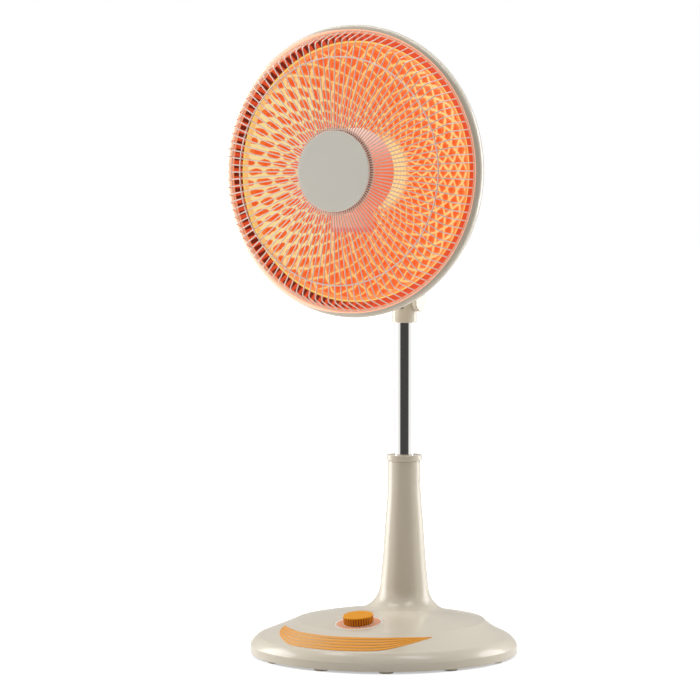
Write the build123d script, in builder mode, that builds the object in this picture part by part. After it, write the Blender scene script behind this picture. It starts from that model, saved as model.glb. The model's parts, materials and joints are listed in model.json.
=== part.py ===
from build123d import *
import os
from math import atan, cos, degrees, radians, sin, sqrt

# Pedestal dish heater, in millimetres.
# The origin is the centre of the base on the floor, +Z is up and the dish faces -Y.

os.makedirs("parts", exist_ok=True)

# Overall sizes
overall_height = 875.0
head_diameter = 400.0
base_diameter = 375.0
mast_y = 60.0                 # the mast stands behind the centre of the base

head_radius = head_diameter / 2
base_radius = base_diameter / 2
head_height = overall_height - head_radius

# Clearances and fits
running_gap = 0.05            # radial, round a shaft that turns or slides
loose_gap = 0.3               # between pieces that pass each other or lie close
seat_gap = 0.2                # round a piece that drops into its seat
weld_bite = 0.25              # how far a welded wire sinks into its ring

# Screws and small edges
screw_radius = 1.6
screw_head_radius = 3.4
screw_head_height = 1.6
screw_length = 14.0
small_screw_length = 4.0
edge_break = 0.8              # chamfers and fillets on small pieces
soft_edge = 1.5               # fillets on moulded pieces
corner_radius = 2.0           # corners of boxes, tabs and blocks

# Base cover
foot_height = 3.0
cover_wall = 2.6
skirt_height = 14.0           # top of the upright edge
shoulder_width = 12.0         # plan width of the rounded shoulder
shoulder_height = 26.0
shoulder_bulge = 2.5          # radius of the shoulder's arc, in shoulder widths
slope_width = 29.5            # from the shoulder to the hollow of the slope
slope_height = 38.5
tier_y = 20.0                 # the upper tier lies behind the centre of the base
tier_step = 13.0              # from the hollow of the slope to the tier's edge
tier_height = 45.0
dome_rise = 14.0
column_height = 265.5         # top of the column above the floor
column_top_radius = 23.2
column_straight = 25.5        # upright stretch below the column's top
column_waist_radius = 26.6
column_waist_height = 185.0
column_low_radius = 31.2
column_low_height = 122.0
column_foot_radius = 37.0
column_foot_lean = 0.03
column_flare_radius = 35.0
flare_search = 6.0            # depth below the dome in which the flare's edge lies
cover_boss_radius = 4.5
cover_screw_inset = 14.0      # from the shoulder's inner edge to the screws
cover_screw_count = 6

shoulder_radius = base_radius - shoulder_width
slope_radius = shoulder_radius - slope_width
tier_radius = slope_radius - tier_step
dome_height = tier_height + dome_rise
column_foot_height = dome_height - flare_search
cover_screw_circle = shoulder_radius - cover_screw_inset

# Base plate and what stands on it
plate_thickness = 2.0
plate_top = foot_height + plate_thickness
plate_radius = base_radius - cover_wall - loose_gap
foot_edge_inset = 12.5        # from the base's edge to the middle of a foot
foot_circle = base_radius - foot_edge_inset
foot_count = 12
foot_radius = 10.0
foot_stem_radius = 3.0
foot_rivet_radius = 4.2       # the spread end of the stem, inside
foot_rivet_height = 1.0
ballast_inner_radius = 96.0
ballast_width = 45.0
ballast_thickness = 10.0
ballast_screw_count = 4
ballast_outer_radius = ballast_inner_radius + ballast_width
ballast_screw_circle = ballast_inner_radius + ballast_width / 2

# Mast
tube_radius = 14.2
tube_wall = 1.2
tube_overlap = 65.5           # length of the sliding tube that stays in the column
pole_wall = 1.6
pole_top_drop = 3.5           # from the column's top to the pole's
pole_flange_radius = 32.0
pole_flange_thickness = 3.0
pole_screw_circle = 25.5
pole_screw_radius = 2.5
pole_screw_head = 1.8         # how far its head stands out round the shank
pole_screw_count = 4
bush_flange_thickness = 2.5
bush_wall = 2.65
plug_head_length = 12.0
plug_spigot_length = 20.0
plug_hole_radius = 8.0
collar_radius = 25.3
collar_gap = 1.5              # groove between the column and the collar
collar_thickness = 8.4
collar_edge = 1.6
collar_neck_radius = 22.3
collar_spigot_length = 18.0
collar_mouth_gap = 0.7

column_top = column_height
tube_bottom = column_top - tube_overlap
pole_bore = tube_radius + bush_wall
pole_radius = pole_bore + pole_wall
pole_top = column_top - pole_top_drop
bush_bottom = tube_bottom + loose_gap
bush_top = pole_top + bush_flange_thickness
collar_bottom = column_top + collar_gap
collar_top = collar_bottom + collar_thickness

# Rear housing
housing_radius = 95.0
housing_wall = 2.2
housing_back = -25.0          # distance in front of the mast axis, so behind it
housing_cover_depth = 17.0
housing_cover_rim = 5.0       # straight edge of the lid before its dome
housing_cover_crown = 4.2     # how far the dome still rises past its turn
housing_cover_turn = 13.3     # from the lid's edge to where the dome turns
housing_screw_seat = 5.0
housing_post_inset = 6.5      # from the housing's outside to the middle of a post
housing_post_radius = 5.0
housing_post_count = 4
cover_slot_pitch = 11.0
cover_slot_count = 9
cover_slot_length = 84.0
cover_slot_width = 4.0
housing_post_circle = housing_radius - housing_post_inset
housing_bottom = head_height - housing_radius

# Neck and tilt joint
tilt_drop = 86.0              # from the housing's underside to the tilt axis
neck_radius = 17.5
neck_length = 31.0            # from the tilt axis to the socket's mouth
tube_end_drop = 13.0          # from the tilt axis to the top of the tube
fork_slot = 15.0
tongue_radius = 11.0
tilt_bolt_radius = 4.0
ear_flat = 15.5               # half the width over the flats on the ears
bolt_head_radius = 7.0
bolt_head_height = 4.0
bolt_end_inset = 2.5          # the bolt stops this far short of the knob's face
tilt_washer_radius = 8.0
tilt_washer_thickness = 1.5
tilt_knob_radius = 15.5
tilt_knob_gap = 3.2           # between the washer and the knob's rim
tilt_knob_width = 7.0
tilt_knob_wall = 3.0
tilt_knob_web = 2.4
tilt_knob_boss_radius = 7.0
tilt_knob_grip_radius = 3.0
tilt_knob_grip_offset = 2.2
tilt_knob_grip_count = 12
neck_screw_drop = 23.0
hex_key_size = 0.9

tilt_height = housing_bottom - tilt_drop
neck_bottom = tilt_height - neck_length
tube_top = tilt_height - tube_end_drop
neck_screw_height = tilt_height - neck_screw_drop

# Swivel post and the yoke that makes the head swing
post_radius = 15.0
post_shoulder_gap = 18.5      # from the tilt axis to the post's underside
post_straight = 18.0
post_flange_radius = 20.0
post_flange_thickness = 6.0
swivel_boss_drop = 15.5       # the boss hangs this far below the housing
swivel_boss_rise = 14.0       # and stands this far up inside it
swivel_boss_radius = 19.5
swivel_pin_radius = 8.0
swivel_bush_wall = 3.0
swivel_bush_flange = 2.2
swivel_bush_inset = 2.0       # from the boss's outside to the bush's flange
swivel_washer_thickness = 1.7
yoke_thickness = 4.0
yoke_hub_radius = 14.0
yoke_arm_wall = 5.0
yoke_corner = 4.0
yoke_stud_radius = 5.0
yoke_stud_end = 1.0           # how far the stud shows past its nut
yoke_nut_radius = 8.0
yoke_nut_height = 5.0
crank_offset = 28.0           # from the swivel axis to the motor's shaft
crank_throw = 15.0
crank_pin_radius = 3.0
crank_pin_play = 1.3
crank_pin_end = 1.0           # how far the pin shows below the yoke
crank_disc_edge = 1.5         # from the pin to the disc's edge
crank_disc_thickness = 4.0
crank_disc_gap = 7.0          # between the yoke and the disc
motor_radius = 24.5
motor_gap = 2.5               # between the disc and the motor
motor_height = 18.5
motor_ear_sheet = 1.0
motor_ear_reach = 4.5
motor_ear_width = 8.0
motor_shaft_radius = 3.5
motor_shaft_reach = 8.0
motor_bracket_sheet = 1.2
motor_bracket_depth = 34.0
motor_bracket_foot = 4.0
motor_bracket_gap = 2.0       # between the bracket's legs and the housing's posts

swivel_boss_bottom = housing_bottom - swivel_boss_drop
swivel_boss_top = housing_bottom + swivel_boss_rise
post_flange_top = swivel_boss_bottom - swivel_bush_flange - loose_gap
post_flange_bottom = post_flange_top - post_flange_thickness
yoke_bottom = swivel_boss_top + loose_gap + swivel_washer_thickness
yoke_top = yoke_bottom + yoke_thickness
crank_disc_bottom = yoke_top + crank_disc_gap
crank_disc_radius = crank_throw + crank_pin_radius + crank_disc_edge
motor_bottom = crank_disc_bottom + crank_disc_thickness + motor_gap
motor_top = motor_bottom + motor_height
motor_y = mast_y - crank_offset
motor_screw_span = 2 * (motor_radius + motor_ear_reach)

# Head, as radius from its axis and distance in front of the mast axis
flange_front = 153.8          # front of the reflector's outer flange
rim_wall = 3.4
rim_lip_width = 7.7           # from the rim's widest circle to its lip
rim_lip_rise = 3.2            # how far the lip stands in front of the flange
rim_lip_edge = 0.8
rim_widest_drop = 3.8         # from the flange back to the rim's widest circle
rim_depth = 12.3              # from the flange back to the rim's rear edge
rim_back_width = 1.4
bowl_wall = 1.2
bowl_hole_radius = 60.0
bowl_hole_drop = 14.0         # from the reflector's vertex back to the bowl's hole
bowl_edge_drop = 10.8         # from the flange back to the bowl's edge
bowl_screw_seat = 0.15
vent_count = 36
vent_circle = 138.0
vent_length = 40.0
vent_width = 4.5

rim_seat_front = flange_front + seat_gap
rim_lip_radius = head_radius - rim_lip_width
rim_lip_front = flange_front + rim_lip_rise
rim_widest_front = flange_front - rim_widest_drop
rim_back_front = flange_front - rim_depth
bowl_edge_radius = head_radius - rim_wall
bowl_edge_front = flange_front - bowl_edge_drop

# Reflector
step_inset = 11.4             # from the rim's widest circle to the step
dish_inset = 22.0             # and to the dish's edge
step_depth = 7.8              # from the flange back to the dish's edge
dish_depth = 60.0
dish_sheet = 0.8
dish_flat_radius = 28.0

step_radius = head_radius - step_inset
dish_radius = head_radius - dish_inset
dish_front = flange_front - step_depth
dish_vertex = dish_front - dish_depth
bowl_hole_front = dish_vertex - bowl_hole_drop

# Front grille
wire_radius = 0.9
wire_count = 106
wire_inner_radius = 47.0
wire_bend_width = 12.5        # from the wires' ends in to their bend
wire_bend_inside = 6.0
wire_end_gap = 1.5            # from the rim's lip in to the wires' ends
wire_end_rise = 1.2           # from the flange forward to the wires' ends
wire_bend_rise = 33.0         # from the wires' ends forward to their bend
wire_crown = 10.0             # from the bend forward to the hub
ring_wire_radius = 1.5
hub_ring_gap = 3.8            # from the cap's edge out to the ring behind it
middle_ring_radius = 155.0
edge_ring_wire_radius = 1.1
hub_plate_radius = 51.5
hub_plate_width = 7.5
hub_plate_thickness = 3.0

wire_end_radius = rim_lip_radius - wire_end_gap
wire_bend_radius = wire_end_radius - wire_bend_width
wire_end_front = flange_front + wire_end_rise
wire_bend_front = wire_end_front + wire_bend_rise
wire_inner_front = wire_bend_front + wire_crown

# Hub cap and the clamp behind it
cap_margin = 3.5              # from the hub plate's edge out to the cap's
cap_rise = 4.0                # from the wires forward to the cap's face
cap_wall = 2.0
cap_post_radius = 3.5
clamp_thickness = 2.0
clamp_screw_reach = 3.0        # into the bosses of the hub cap
clamp_screw_circle = 36.0
clamp_screw_count = 3
cap_radius = hub_plate_radius + cap_margin
cap_front = wire_inner_front + cap_rise
hub_ring_radius = cap_radius + hub_ring_gap

# Heating element and its shroud
shroud_front_radius = 58.0
shroud_back_radius = 60.0
shroud_sheet = 1.0
tab_width = 58.0
tab_reach = 83.0
tab_rise = 10.0               # from the dish's edge forward to the tab's face
tab_depth = 15.0
post_ceramic_radius = 14.0
post_ceramic_bore = 8.0
post_ceramic_neck = 10.0      # radius of the end that the bracket sits on
post_ceramic_flange_radius = 26.0
post_ceramic_flange = 6.0
post_ceramic_gap = 0.2
post_end = 1.0                # how far the post shows past its nut
post_nut_thickness = 4.0
post_nut_radius = 21.0
post_end_nut_width = 5.0
bracket_rise = 22.0           # from the dish's edge forward to the arms
bracket_arm_count = 3
bracket_hub_radius = 20.0
bracket_arm_width = 10.0
bracket_sheet = 1.2
bracket_foot_length = 7.0
element_ring_radius = 42.0
element_tube_radius = 5.0
element_tube_wall = 1.0
element_coil_radius = 2.6
element_leg_x = 13.0
element_leg_end = 73.6
element_leg_bend = 9.0
element_cover_gap = 1.5       # between the tube and the tab's sheet
end_cap_width = 13.0
end_cap_length = 10.0
end_cap_back_gap = 1.0

shroud_back = dish_front
tab_front = dish_front + tab_rise
tab_back = tab_front - tab_depth
bracket_front = dish_front + bracket_rise
element_front = tab_front - shroud_sheet - element_cover_gap - element_tube_radius

# Cut-out and terminal behind the reflector
cutout_circle = 62.0
cutout_radius = 8.0
cutout_height = 7.0
cutout_gap = 1.5
cutout_blade = (2.5, 6.0, 2.0)
cutout_blade_spacing = 8.0
head_terminal_size = (30.0, 18.0, 14.0)
terminal_hole_radius = 2.6
head_terminal_pitch = 12.0

# Control knob on the front of the dome
knob_x = 0.0
knob_y = -72.0
knob_radius = 21.0
knob_height = 10.5
knob_wall = 2.4
knob_edge = 0.9
knob_boss_wall = 2.4
knob_flute_count = 36
knob_flute_radius = 1.1
knob_flute_stop = 1.5         # flutes end this far below the knob's top
recess_radius = 35.0
recess_depth = 2.2
recess_floor = 2.4
dial_thickness = 1.2
dial_edge = 0.4
switch_shaft_radius = 3.0
switch_bush_radius = 4.5
switch_nut_radius = 7.0
switch_nut_height = 2.2
switch_width = 30.0
switch_depth = 18.0
switch_floor = 4.0
switch_blade = (1.0, 5.0, 5.0)
switch_blade_pitch = (8.0, 14.0)

# Cord inlet and tip-over switch
inlet_height = 12.6
inlet_bore_radius = 3.7
inlet_radius = 5.2
inlet_flange_radius = 5.8
inlet_flange = 1.8
inlet_flange_inset = 10.2     # from the base's edge to the grommet's inner face
inlet_end_inset = 0.6
plunger_x = -62.0
plunger_y = 40.0
plunger_radius = 4.0
plunger_length = 30.0
tip_switch_size = (26.0, 16.0, 29.0)
terminal_size = (34.0, 20.0, 14.0)
terminal_place = (55.0, -20.0)
terminal_holes = 3


def upright(y=0.0):
    """Section plane that stands on the centre line: radius across, height up."""
    return Plane(origin=(0, y, 0), x_dir=(1, 0, 0), z_dir=(0, -1, 0))


def upright_axis(y=0.0):
    return Axis((0, y, 0), (0, 0, 1))


def level(height, x=0.0, y=0.0):
    """Plane parallel to the floor."""
    return Plane(origin=(x, y, height), x_dir=(1, 0, 0), z_dir=(0, 0, 1))


def facing(front):
    """Plane square to the head's axis, this far in front of the mast axis, looking forward."""
    return Plane(origin=(0, mast_y - front, head_height), x_dir=(1, 0, 0), z_dir=(0, -1, 0))


head_section = Plane(origin=(0, mast_y, head_height), x_dir=(1, 0, 0), z_dir=(0, 0, -1))
head_axis = Axis((0, mast_y, head_height), (0, -1, 0))


def save(piece, name):
    """Labels a finished sub-part and writes it as one STEP file."""
    piece.part.label = name
    export_step(piece.part, f"parts/{name}.step")


def dome_sphere_radius():
    rise = dome_height - tier_height
    return (tier_radius**2 + rise**2) / (2 * rise)


def dome_surface(x, y):
    """Height of the dome above the floor at a point of its plan."""
    sphere = dome_sphere_radius()
    return dome_height - sphere + sqrt(sphere**2 - x**2 - (y - tier_y) ** 2)


sphere_centre_height = dome_height - dome_sphere_radius()
knob_point = Vector(knob_x, knob_y, dome_surface(knob_x, knob_y))
knob_normal = (knob_point - Vector(0, tier_y, sphere_centre_height)).normalized()


def knob_plane(offset):
    """Plane square to the knob's axis, at this height above the dome's surface."""
    return Plane(origin=knob_point, x_dir=(1, 0, 0), z_dir=knob_normal).offset(offset)


# Base cover: skirt, slope, dome and column in one moulding

def base_form(inset):
    """The outside of the cover as a solid, with every face moved in by the inset."""
    open_below = 0.0 if inset == 0 else foot_height
    open_above = 0.0 if inset == 0 else cover_wall
    with BuildPart() as form:
        with BuildSketch(upright()):
            with BuildLine():
                Polyline(
                    (0, shoulder_height - inset),
                    (0, foot_height - open_below),
                    (base_radius - inset, foot_height - open_below),
                    (base_radius - inset, skirt_height - inset),
                )
                RadiusArc(
                    (base_radius - inset, skirt_height - inset),
                    (shoulder_radius - inset, shoulder_height - inset),
                    -shoulder_width * shoulder_bulge,
                )
                Line((shoulder_radius - inset, shoulder_height - inset), (0, shoulder_height - inset))
            make_face()
        revolve(axis=Axis.Z)
        slope_y = tier_y / 2
        with BuildSketch(level(shoulder_height - inset)):
            Circle(shoulder_radius - inset)
        with BuildSketch(level(slope_height - inset, 0, slope_y)):
            Circle(slope_radius - inset)
        with BuildSketch(level(tier_height - inset, 0, tier_y)):
            Circle(tier_radius - inset)
        loft()
        with BuildSketch(upright(tier_y)):
            with BuildLine():
                Polyline(
                    (0, dome_height - inset),
                    (0, tier_height - inset),
                    (tier_radius - inset, tier_height - inset),
                )
                RadiusArc(
                    (tier_radius - inset, tier_height - inset),
                    (0, dome_height - inset),
                    -dome_sphere_radius(),
                )
            make_face()
        revolve(axis=upright_axis(tier_y))
        with BuildSketch(upright(mast_y)):
            with BuildLine():
                Polyline(
                    (0, column_top + open_above),
                    (0, shoulder_height),
                    (column_foot_radius - inset, shoulder_height),
                    (column_foot_radius - inset, column_foot_height),
                )
                Spline(
                    (column_foot_radius - inset, column_foot_height),
                    (column_low_radius - inset, column_low_height),
                    (column_waist_radius - inset, column_waist_height),
                    (column_top_radius - inset, column_top - column_straight),
                    tangents=[(-column_foot_lean, 1), (0, 1)],
                )
                Polyline(
                    (column_top_radius - inset, column_top - column_straight),
                    (column_top_radius - inset, column_top + open_above),
                    (0, column_top + open_above),
                )
            make_face()
        revolve(axis=upright_axis(mast_y))
        flare = form.edges().filter_by_position(
            Axis.Z, column_foot_height - inset - flare_search, dome_height - inset + edge_break
        )
        fillet(flare, column_flare_radius + inset)
    return form.part


def make_base_cover():
    outside = base_form(0.0)
    inside = base_form(cover_wall)
    with BuildPart() as bosses:
        with BuildSketch(level(plate_top)):
            with PolarLocations(cover_screw_circle, cover_screw_count):
                Circle(cover_boss_radius)
        extrude(amount=tier_height)
        with BuildSketch(knob_plane(-recess_depth - recess_floor)):
            Circle(recess_radius + recess_floor)
        extrude(amount=recess_floor + recess_depth)
        add(outside, mode=Mode.INTERSECT)
    with BuildPart() as base_cover:
        add(outside)
        add(inside, mode=Mode.SUBTRACT)
        add(bosses.part)
        with BuildSketch(level(plate_top)):
            with PolarLocations(cover_screw_circle, cover_screw_count):
                Circle(screw_radius)
        extrude(amount=screw_length, mode=Mode.SUBTRACT)
        with BuildSketch(knob_plane(-recess_depth)):
            Circle(recess_radius)
        extrude(amount=recess_depth * 2, mode=Mode.SUBTRACT)
        with BuildSketch(knob_plane(-recess_depth - recess_floor * 2)):
            Circle(switch_bush_radius + seat_gap)
        extrude(amount=recess_floor * 3, mode=Mode.SUBTRACT)
        inlet_start = base_radius - inlet_flange_inset
        with BuildSketch(Plane(origin=(0, inlet_start, inlet_height), x_dir=(1, 0, 0), z_dir=(0, 1, 0))):
            Circle(inlet_radius)
        extrude(amount=inlet_flange_inset * 2, mode=Mode.SUBTRACT)
    save(base_cover, "base_cover")


# Base plate, ballast, feet and screws

def make_base_plate():
    with BuildPart() as base_plate:
        with BuildSketch(level(foot_height)):
            Circle(plate_radius)
            with PolarLocations(foot_circle, foot_count, start_angle=-90):
                Circle(foot_stem_radius, mode=Mode.SUBTRACT)
            with PolarLocations(cover_screw_circle, cover_screw_count):
                Circle(screw_radius + seat_gap, mode=Mode.SUBTRACT)
            with Locations((0, mast_y)):
                with PolarLocations(pole_screw_circle, pole_screw_count, start_angle=45):
                    Circle(pole_screw_radius, mode=Mode.SUBTRACT)
            with PolarLocations(ballast_screw_circle, ballast_screw_count):
                Circle(screw_radius, mode=Mode.SUBTRACT)
            with Locations((plunger_x, plunger_y)):
                Circle(plunger_radius + running_gap, mode=Mode.SUBTRACT)
        extrude(amount=plate_thickness)
    save(base_plate, "base_plate")


def make_ballast_ring():
    with BuildPart() as ballast_ring:
        with BuildSketch(level(plate_top)):
            Circle(ballast_outer_radius)
            Circle(ballast_inner_radius, mode=Mode.SUBTRACT)
            with PolarLocations(ballast_screw_circle, ballast_screw_count):
                Circle(screw_radius, mode=Mode.SUBTRACT)
        extrude(amount=ballast_thickness)
        chamfer(ballast_ring.faces().sort_by(Axis.Z)[-1].outer_wire().edges(), soft_edge)
    save(ballast_ring, "ballast_ring")


def make_base_feet():
    with BuildPart() as base_feet:
        with BuildSketch(level(0)):
            with PolarLocations(foot_circle, foot_count, start_angle=-90):
                Circle(foot_radius)
        extrude(amount=foot_height)
        soles = base_feet.faces().filter_by(Plane.XY).group_by(Axis.Z)[0].edges()
        chamfer(soles, edge_break)
        with BuildSketch(level(foot_height)):
            with PolarLocations(foot_circle, foot_count, start_angle=-90):
                Circle(foot_stem_radius)
        extrude(amount=plate_thickness)
        with BuildSketch(level(plate_top)):
            with PolarLocations(foot_circle, foot_count, start_angle=-90):
                Circle(foot_rivet_radius)
        extrude(amount=foot_rivet_height)
    save(base_feet, "base_feet")


def make_cover_screws():
    """Pan-head screws through the plate into the cover's bosses, and into the ballast."""
    with BuildPart() as cover_screws:
        for circle, count in (
            (cover_screw_circle, cover_screw_count),
            (ballast_screw_circle, ballast_screw_count),
        ):
            length = screw_length if count == cover_screw_count else ballast_thickness
            with BuildSketch(level(foot_height - screw_head_height)):
                with PolarLocations(circle, count):
                    Circle(screw_head_radius)
            extrude(amount=screw_head_height)
            with BuildSketch(level(foot_height)):
                with PolarLocations(circle, count):
                    Circle(screw_radius)
            extrude(amount=length)
        heads = cover_screws.faces().filter_by(Plane.XY).group_by(Axis.Z)[0].edges()
        fillet(heads, screw_head_height / 2)
    save(cover_screws, "plate_screws")


# Mast: steel pole in the column, sliding tube, bushes and collar


def make_support_pole():
    with BuildPart() as support_pole:
        with BuildSketch(level(plate_top, 0, mast_y)):
            Circle(pole_flange_radius)
            with PolarLocations(pole_screw_circle, pole_screw_count, start_angle=45):
                Circle(pole_screw_radius, mode=Mode.SUBTRACT)
        extrude(amount=pole_flange_thickness)
        with BuildSketch(level(plate_top, 0, mast_y)):
            Circle(pole_radius)
        extrude(amount=pole_top - plate_top)
        with BuildSketch(level(plate_top, 0, mast_y)):
            Circle(pole_bore)
        extrude(amount=pole_top - plate_top, mode=Mode.SUBTRACT)
    save(support_pole, "support_pole")


def make_pole_screws():
    with BuildPart() as pole_screws:
        with BuildSketch(level(foot_height - screw_head_height, 0, mast_y)):
            with PolarLocations(pole_screw_circle, pole_screw_count, start_angle=45):
                Circle(pole_screw_radius + pole_screw_head)
        extrude(amount=screw_head_height)
        with BuildSketch(level(foot_height, 0, mast_y)):
            with PolarLocations(pole_screw_circle, pole_screw_count, start_angle=45):
                Circle(pole_screw_radius)
        extrude(amount=plate_thickness + pole_flange_thickness)
    save(pole_screws, "pole_screws")


def make_tube_bush():
    with BuildPart() as tube_bush:
        with BuildSketch(level(bush_bottom, 0, mast_y)):
            Circle(pole_bore)
        extrude(amount=pole_top - bush_bottom)
        with BuildSketch(level(pole_top, 0, mast_y)):
            Circle(pole_radius)
        extrude(amount=bush_flange_thickness)
        with BuildSketch(level(bush_bottom, 0, mast_y)):
            Circle(tube_radius + running_gap)
        extrude(amount=bush_top - bush_bottom, mode=Mode.SUBTRACT)
    save(tube_bush, "tube_bush")


def make_column_collar():
    spigot_radius = column_top_radius - cover_wall
    with BuildPart() as column_collar:
        with BuildSketch(upright(mast_y)):
            with BuildLine():
                Polyline(
                    (pole_radius + seat_gap, column_top - collar_spigot_length),
                    (spigot_radius, column_top - collar_spigot_length),
                    (spigot_radius, column_top),
                    (collar_neck_radius, column_top),
                    (collar_neck_radius, collar_bottom),
                    (collar_radius, collar_bottom),
                    (collar_radius, collar_top),
                    (tube_radius + collar_mouth_gap, collar_top),
                    (tube_radius + collar_mouth_gap, bush_top),
                    (pole_radius + seat_gap, bush_top),
                    close=True,
                )
            make_face()
        revolve(axis=upright_axis(mast_y))
        outer_edges = column_collar.edges().filter_by(GeomType.CIRCLE).filter_by(
            lambda edge: abs(edge.radius - collar_radius) < running_gap
        )
        fillet(outer_edges, collar_edge)
    save(column_collar, "column_collar")


def make_inner_tube():
    with BuildPart() as inner_tube:
        with BuildSketch(level(tube_bottom, 0, mast_y)):
            Circle(tube_radius)
            Circle(tube_radius - tube_wall, mode=Mode.SUBTRACT)
        extrude(amount=tube_top - tube_bottom)
    save(inner_tube, "inner_tube")


def make_tube_plug():
    """Plug in the foot of the sliding tube: it guides the tube and stops it coming out."""
    with BuildPart() as tube_plug:
        with BuildSketch(level(tube_bottom - plug_head_length, 0, mast_y)):
            Circle(pole_bore - running_gap)
        extrude(amount=plug_head_length)
        with BuildSketch(level(tube_bottom, 0, mast_y)):
            Circle(tube_radius - tube_wall)
        extrude(amount=plug_spigot_length)
        with BuildSketch(level(tube_bottom - plug_head_length, 0, mast_y)):
            Circle(plug_hole_radius)
        extrude(amount=plug_head_length + plug_spigot_length, mode=Mode.SUBTRACT)
    save(tube_plug, "tube_plug")


# Neck: forked socket, tilt bolt and locking knob

def across(x):
    """Plane square to the tilt axis at this distance to the right."""
    return Plane(origin=(x, mast_y, tilt_height), x_dir=(0, 1, 0), z_dir=(1, 0, 0))


def make_neck_socket():
    slot_floor = tilt_height - tongue_radius - loose_gap
    with BuildPart() as neck_socket:
        with BuildSketch(level(neck_bottom, 0, mast_y)):
            Circle(neck_radius)
        extrude(amount=tilt_height - neck_bottom + neck_radius)
        with BuildSketch(across(-neck_radius)):
            Circle(neck_radius)
            with Locations((0, -neck_radius)):
                Rectangle(neck_radius * 2, neck_radius * 2)
            with Locations((0, -neck_radius * 2.5)):
                Rectangle(neck_radius * 2, neck_radius * 2)
        extrude(amount=neck_radius * 2, mode=Mode.INTERSECT)
        with BuildSketch(level(slot_floor, 0, mast_y)):
            Rectangle(fork_slot, neck_radius * 2)
        extrude(amount=neck_radius * 2, mode=Mode.SUBTRACT)
        with BuildSketch(level(neck_bottom, 0, mast_y)):
            Circle(tube_radius)
        extrude(amount=tube_top - neck_bottom, mode=Mode.SUBTRACT)
        with BuildSketch(level(tube_top, 0, mast_y)):
            Circle(plug_hole_radius)
        extrude(amount=neck_radius, mode=Mode.SUBTRACT)
        for side in (-1, 1):
            with BuildSketch(across(side * ear_flat)):
                Circle(tilt_washer_radius + loose_gap)
            extrude(amount=side * neck_radius, mode=Mode.SUBTRACT)
        with BuildSketch(across(-neck_radius)):
            Circle(tilt_bolt_radius)
        extrude(amount=neck_radius * 2, mode=Mode.SUBTRACT)
        with BuildSketch(Plane.XZ.offset(-mast_y - neck_radius)):
            with Locations((0, neck_screw_height)):
                Circle(screw_radius)
        extrude(amount=neck_radius - tube_radius + tube_wall, mode=Mode.SUBTRACT)
        mouth = neck_socket.edges().group_by(Axis.Z)[0].sort_by(SortBy.RADIUS)[-1]
        chamfer(mouth, edge_break)
    save(neck_socket, "neck_socket")


def make_neck_screw():
    """Grub screw at the back that holds the fork on the tube."""
    with BuildPart() as neck_screw:
        with BuildSketch(Plane.XZ.offset(-mast_y - neck_radius)):
            with Locations((0, neck_screw_height)):
                Circle(screw_radius)
        extrude(amount=neck_radius - tube_radius)
        with BuildSketch(Plane.XZ.offset(-mast_y - neck_radius)):
            with Locations((0, neck_screw_height)):
                RegularPolygon(hex_key_size, 6)
        extrude(amount=screw_radius, mode=Mode.SUBTRACT)
    save(neck_screw, "neck_screw")


knob_start = ear_flat + tilt_washer_thickness
bolt_end = knob_start + tilt_knob_gap + tilt_knob_width - bolt_end_inset


def make_tilt_bolt():
    with BuildPart() as tilt_bolt:
        with BuildSketch(across(-ear_flat - bolt_head_height)):
            RegularPolygon(bolt_head_radius, 6)
        extrude(amount=bolt_head_height)
        with BuildSketch(across(-ear_flat)):
            Circle(tilt_bolt_radius)
        extrude(amount=bolt_end + ear_flat)
        chamfer(tilt_bolt.faces().sort_by(Axis.X)[-1].edges(), edge_break)
    save(tilt_bolt, "tilt_bolt")


def make_tilt_washer():
    with BuildPart() as tilt_washer:
        with BuildSketch(across(ear_flat)):
            Circle(tilt_washer_radius)
            Circle(tilt_bolt_radius, mode=Mode.SUBTRACT)
        extrude(amount=tilt_washer_thickness)
    save(tilt_washer, "tilt_washer")


def make_tilt_knob():
    rim_start = knob_start + tilt_knob_gap
    with BuildPart() as tilt_knob:
        with BuildSketch(across(knob_start + running_gap)):
            Circle(tilt_knob_boss_radius)
        extrude(amount=tilt_knob_gap)
        with BuildSketch(across(rim_start)):
            Circle(tilt_knob_radius)
            with PolarLocations(tilt_knob_radius + tilt_knob_grip_offset, tilt_knob_grip_count):
                Circle(tilt_knob_grip_radius, mode=Mode.SUBTRACT)
        extrude(amount=tilt_knob_width)
        fillet(tilt_knob.faces().sort_by(Axis.X)[-1].outer_wire().edges(), edge_break)
        with BuildSketch(across(rim_start)):
            Circle(tilt_knob_radius - tilt_knob_wall)
            Circle(tilt_knob_boss_radius, mode=Mode.SUBTRACT)
        extrude(amount=tilt_knob_width - tilt_knob_web, mode=Mode.SUBTRACT)
        with BuildSketch(across(0)):
            Circle(tilt_bolt_radius + running_gap)
        extrude(amount=bolt_end + loose_gap, mode=Mode.SUBTRACT)
    save(tilt_knob, "tilt_knob")


# Swivel post with its yoke: it tilts in the fork and the head swings on it

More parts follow.
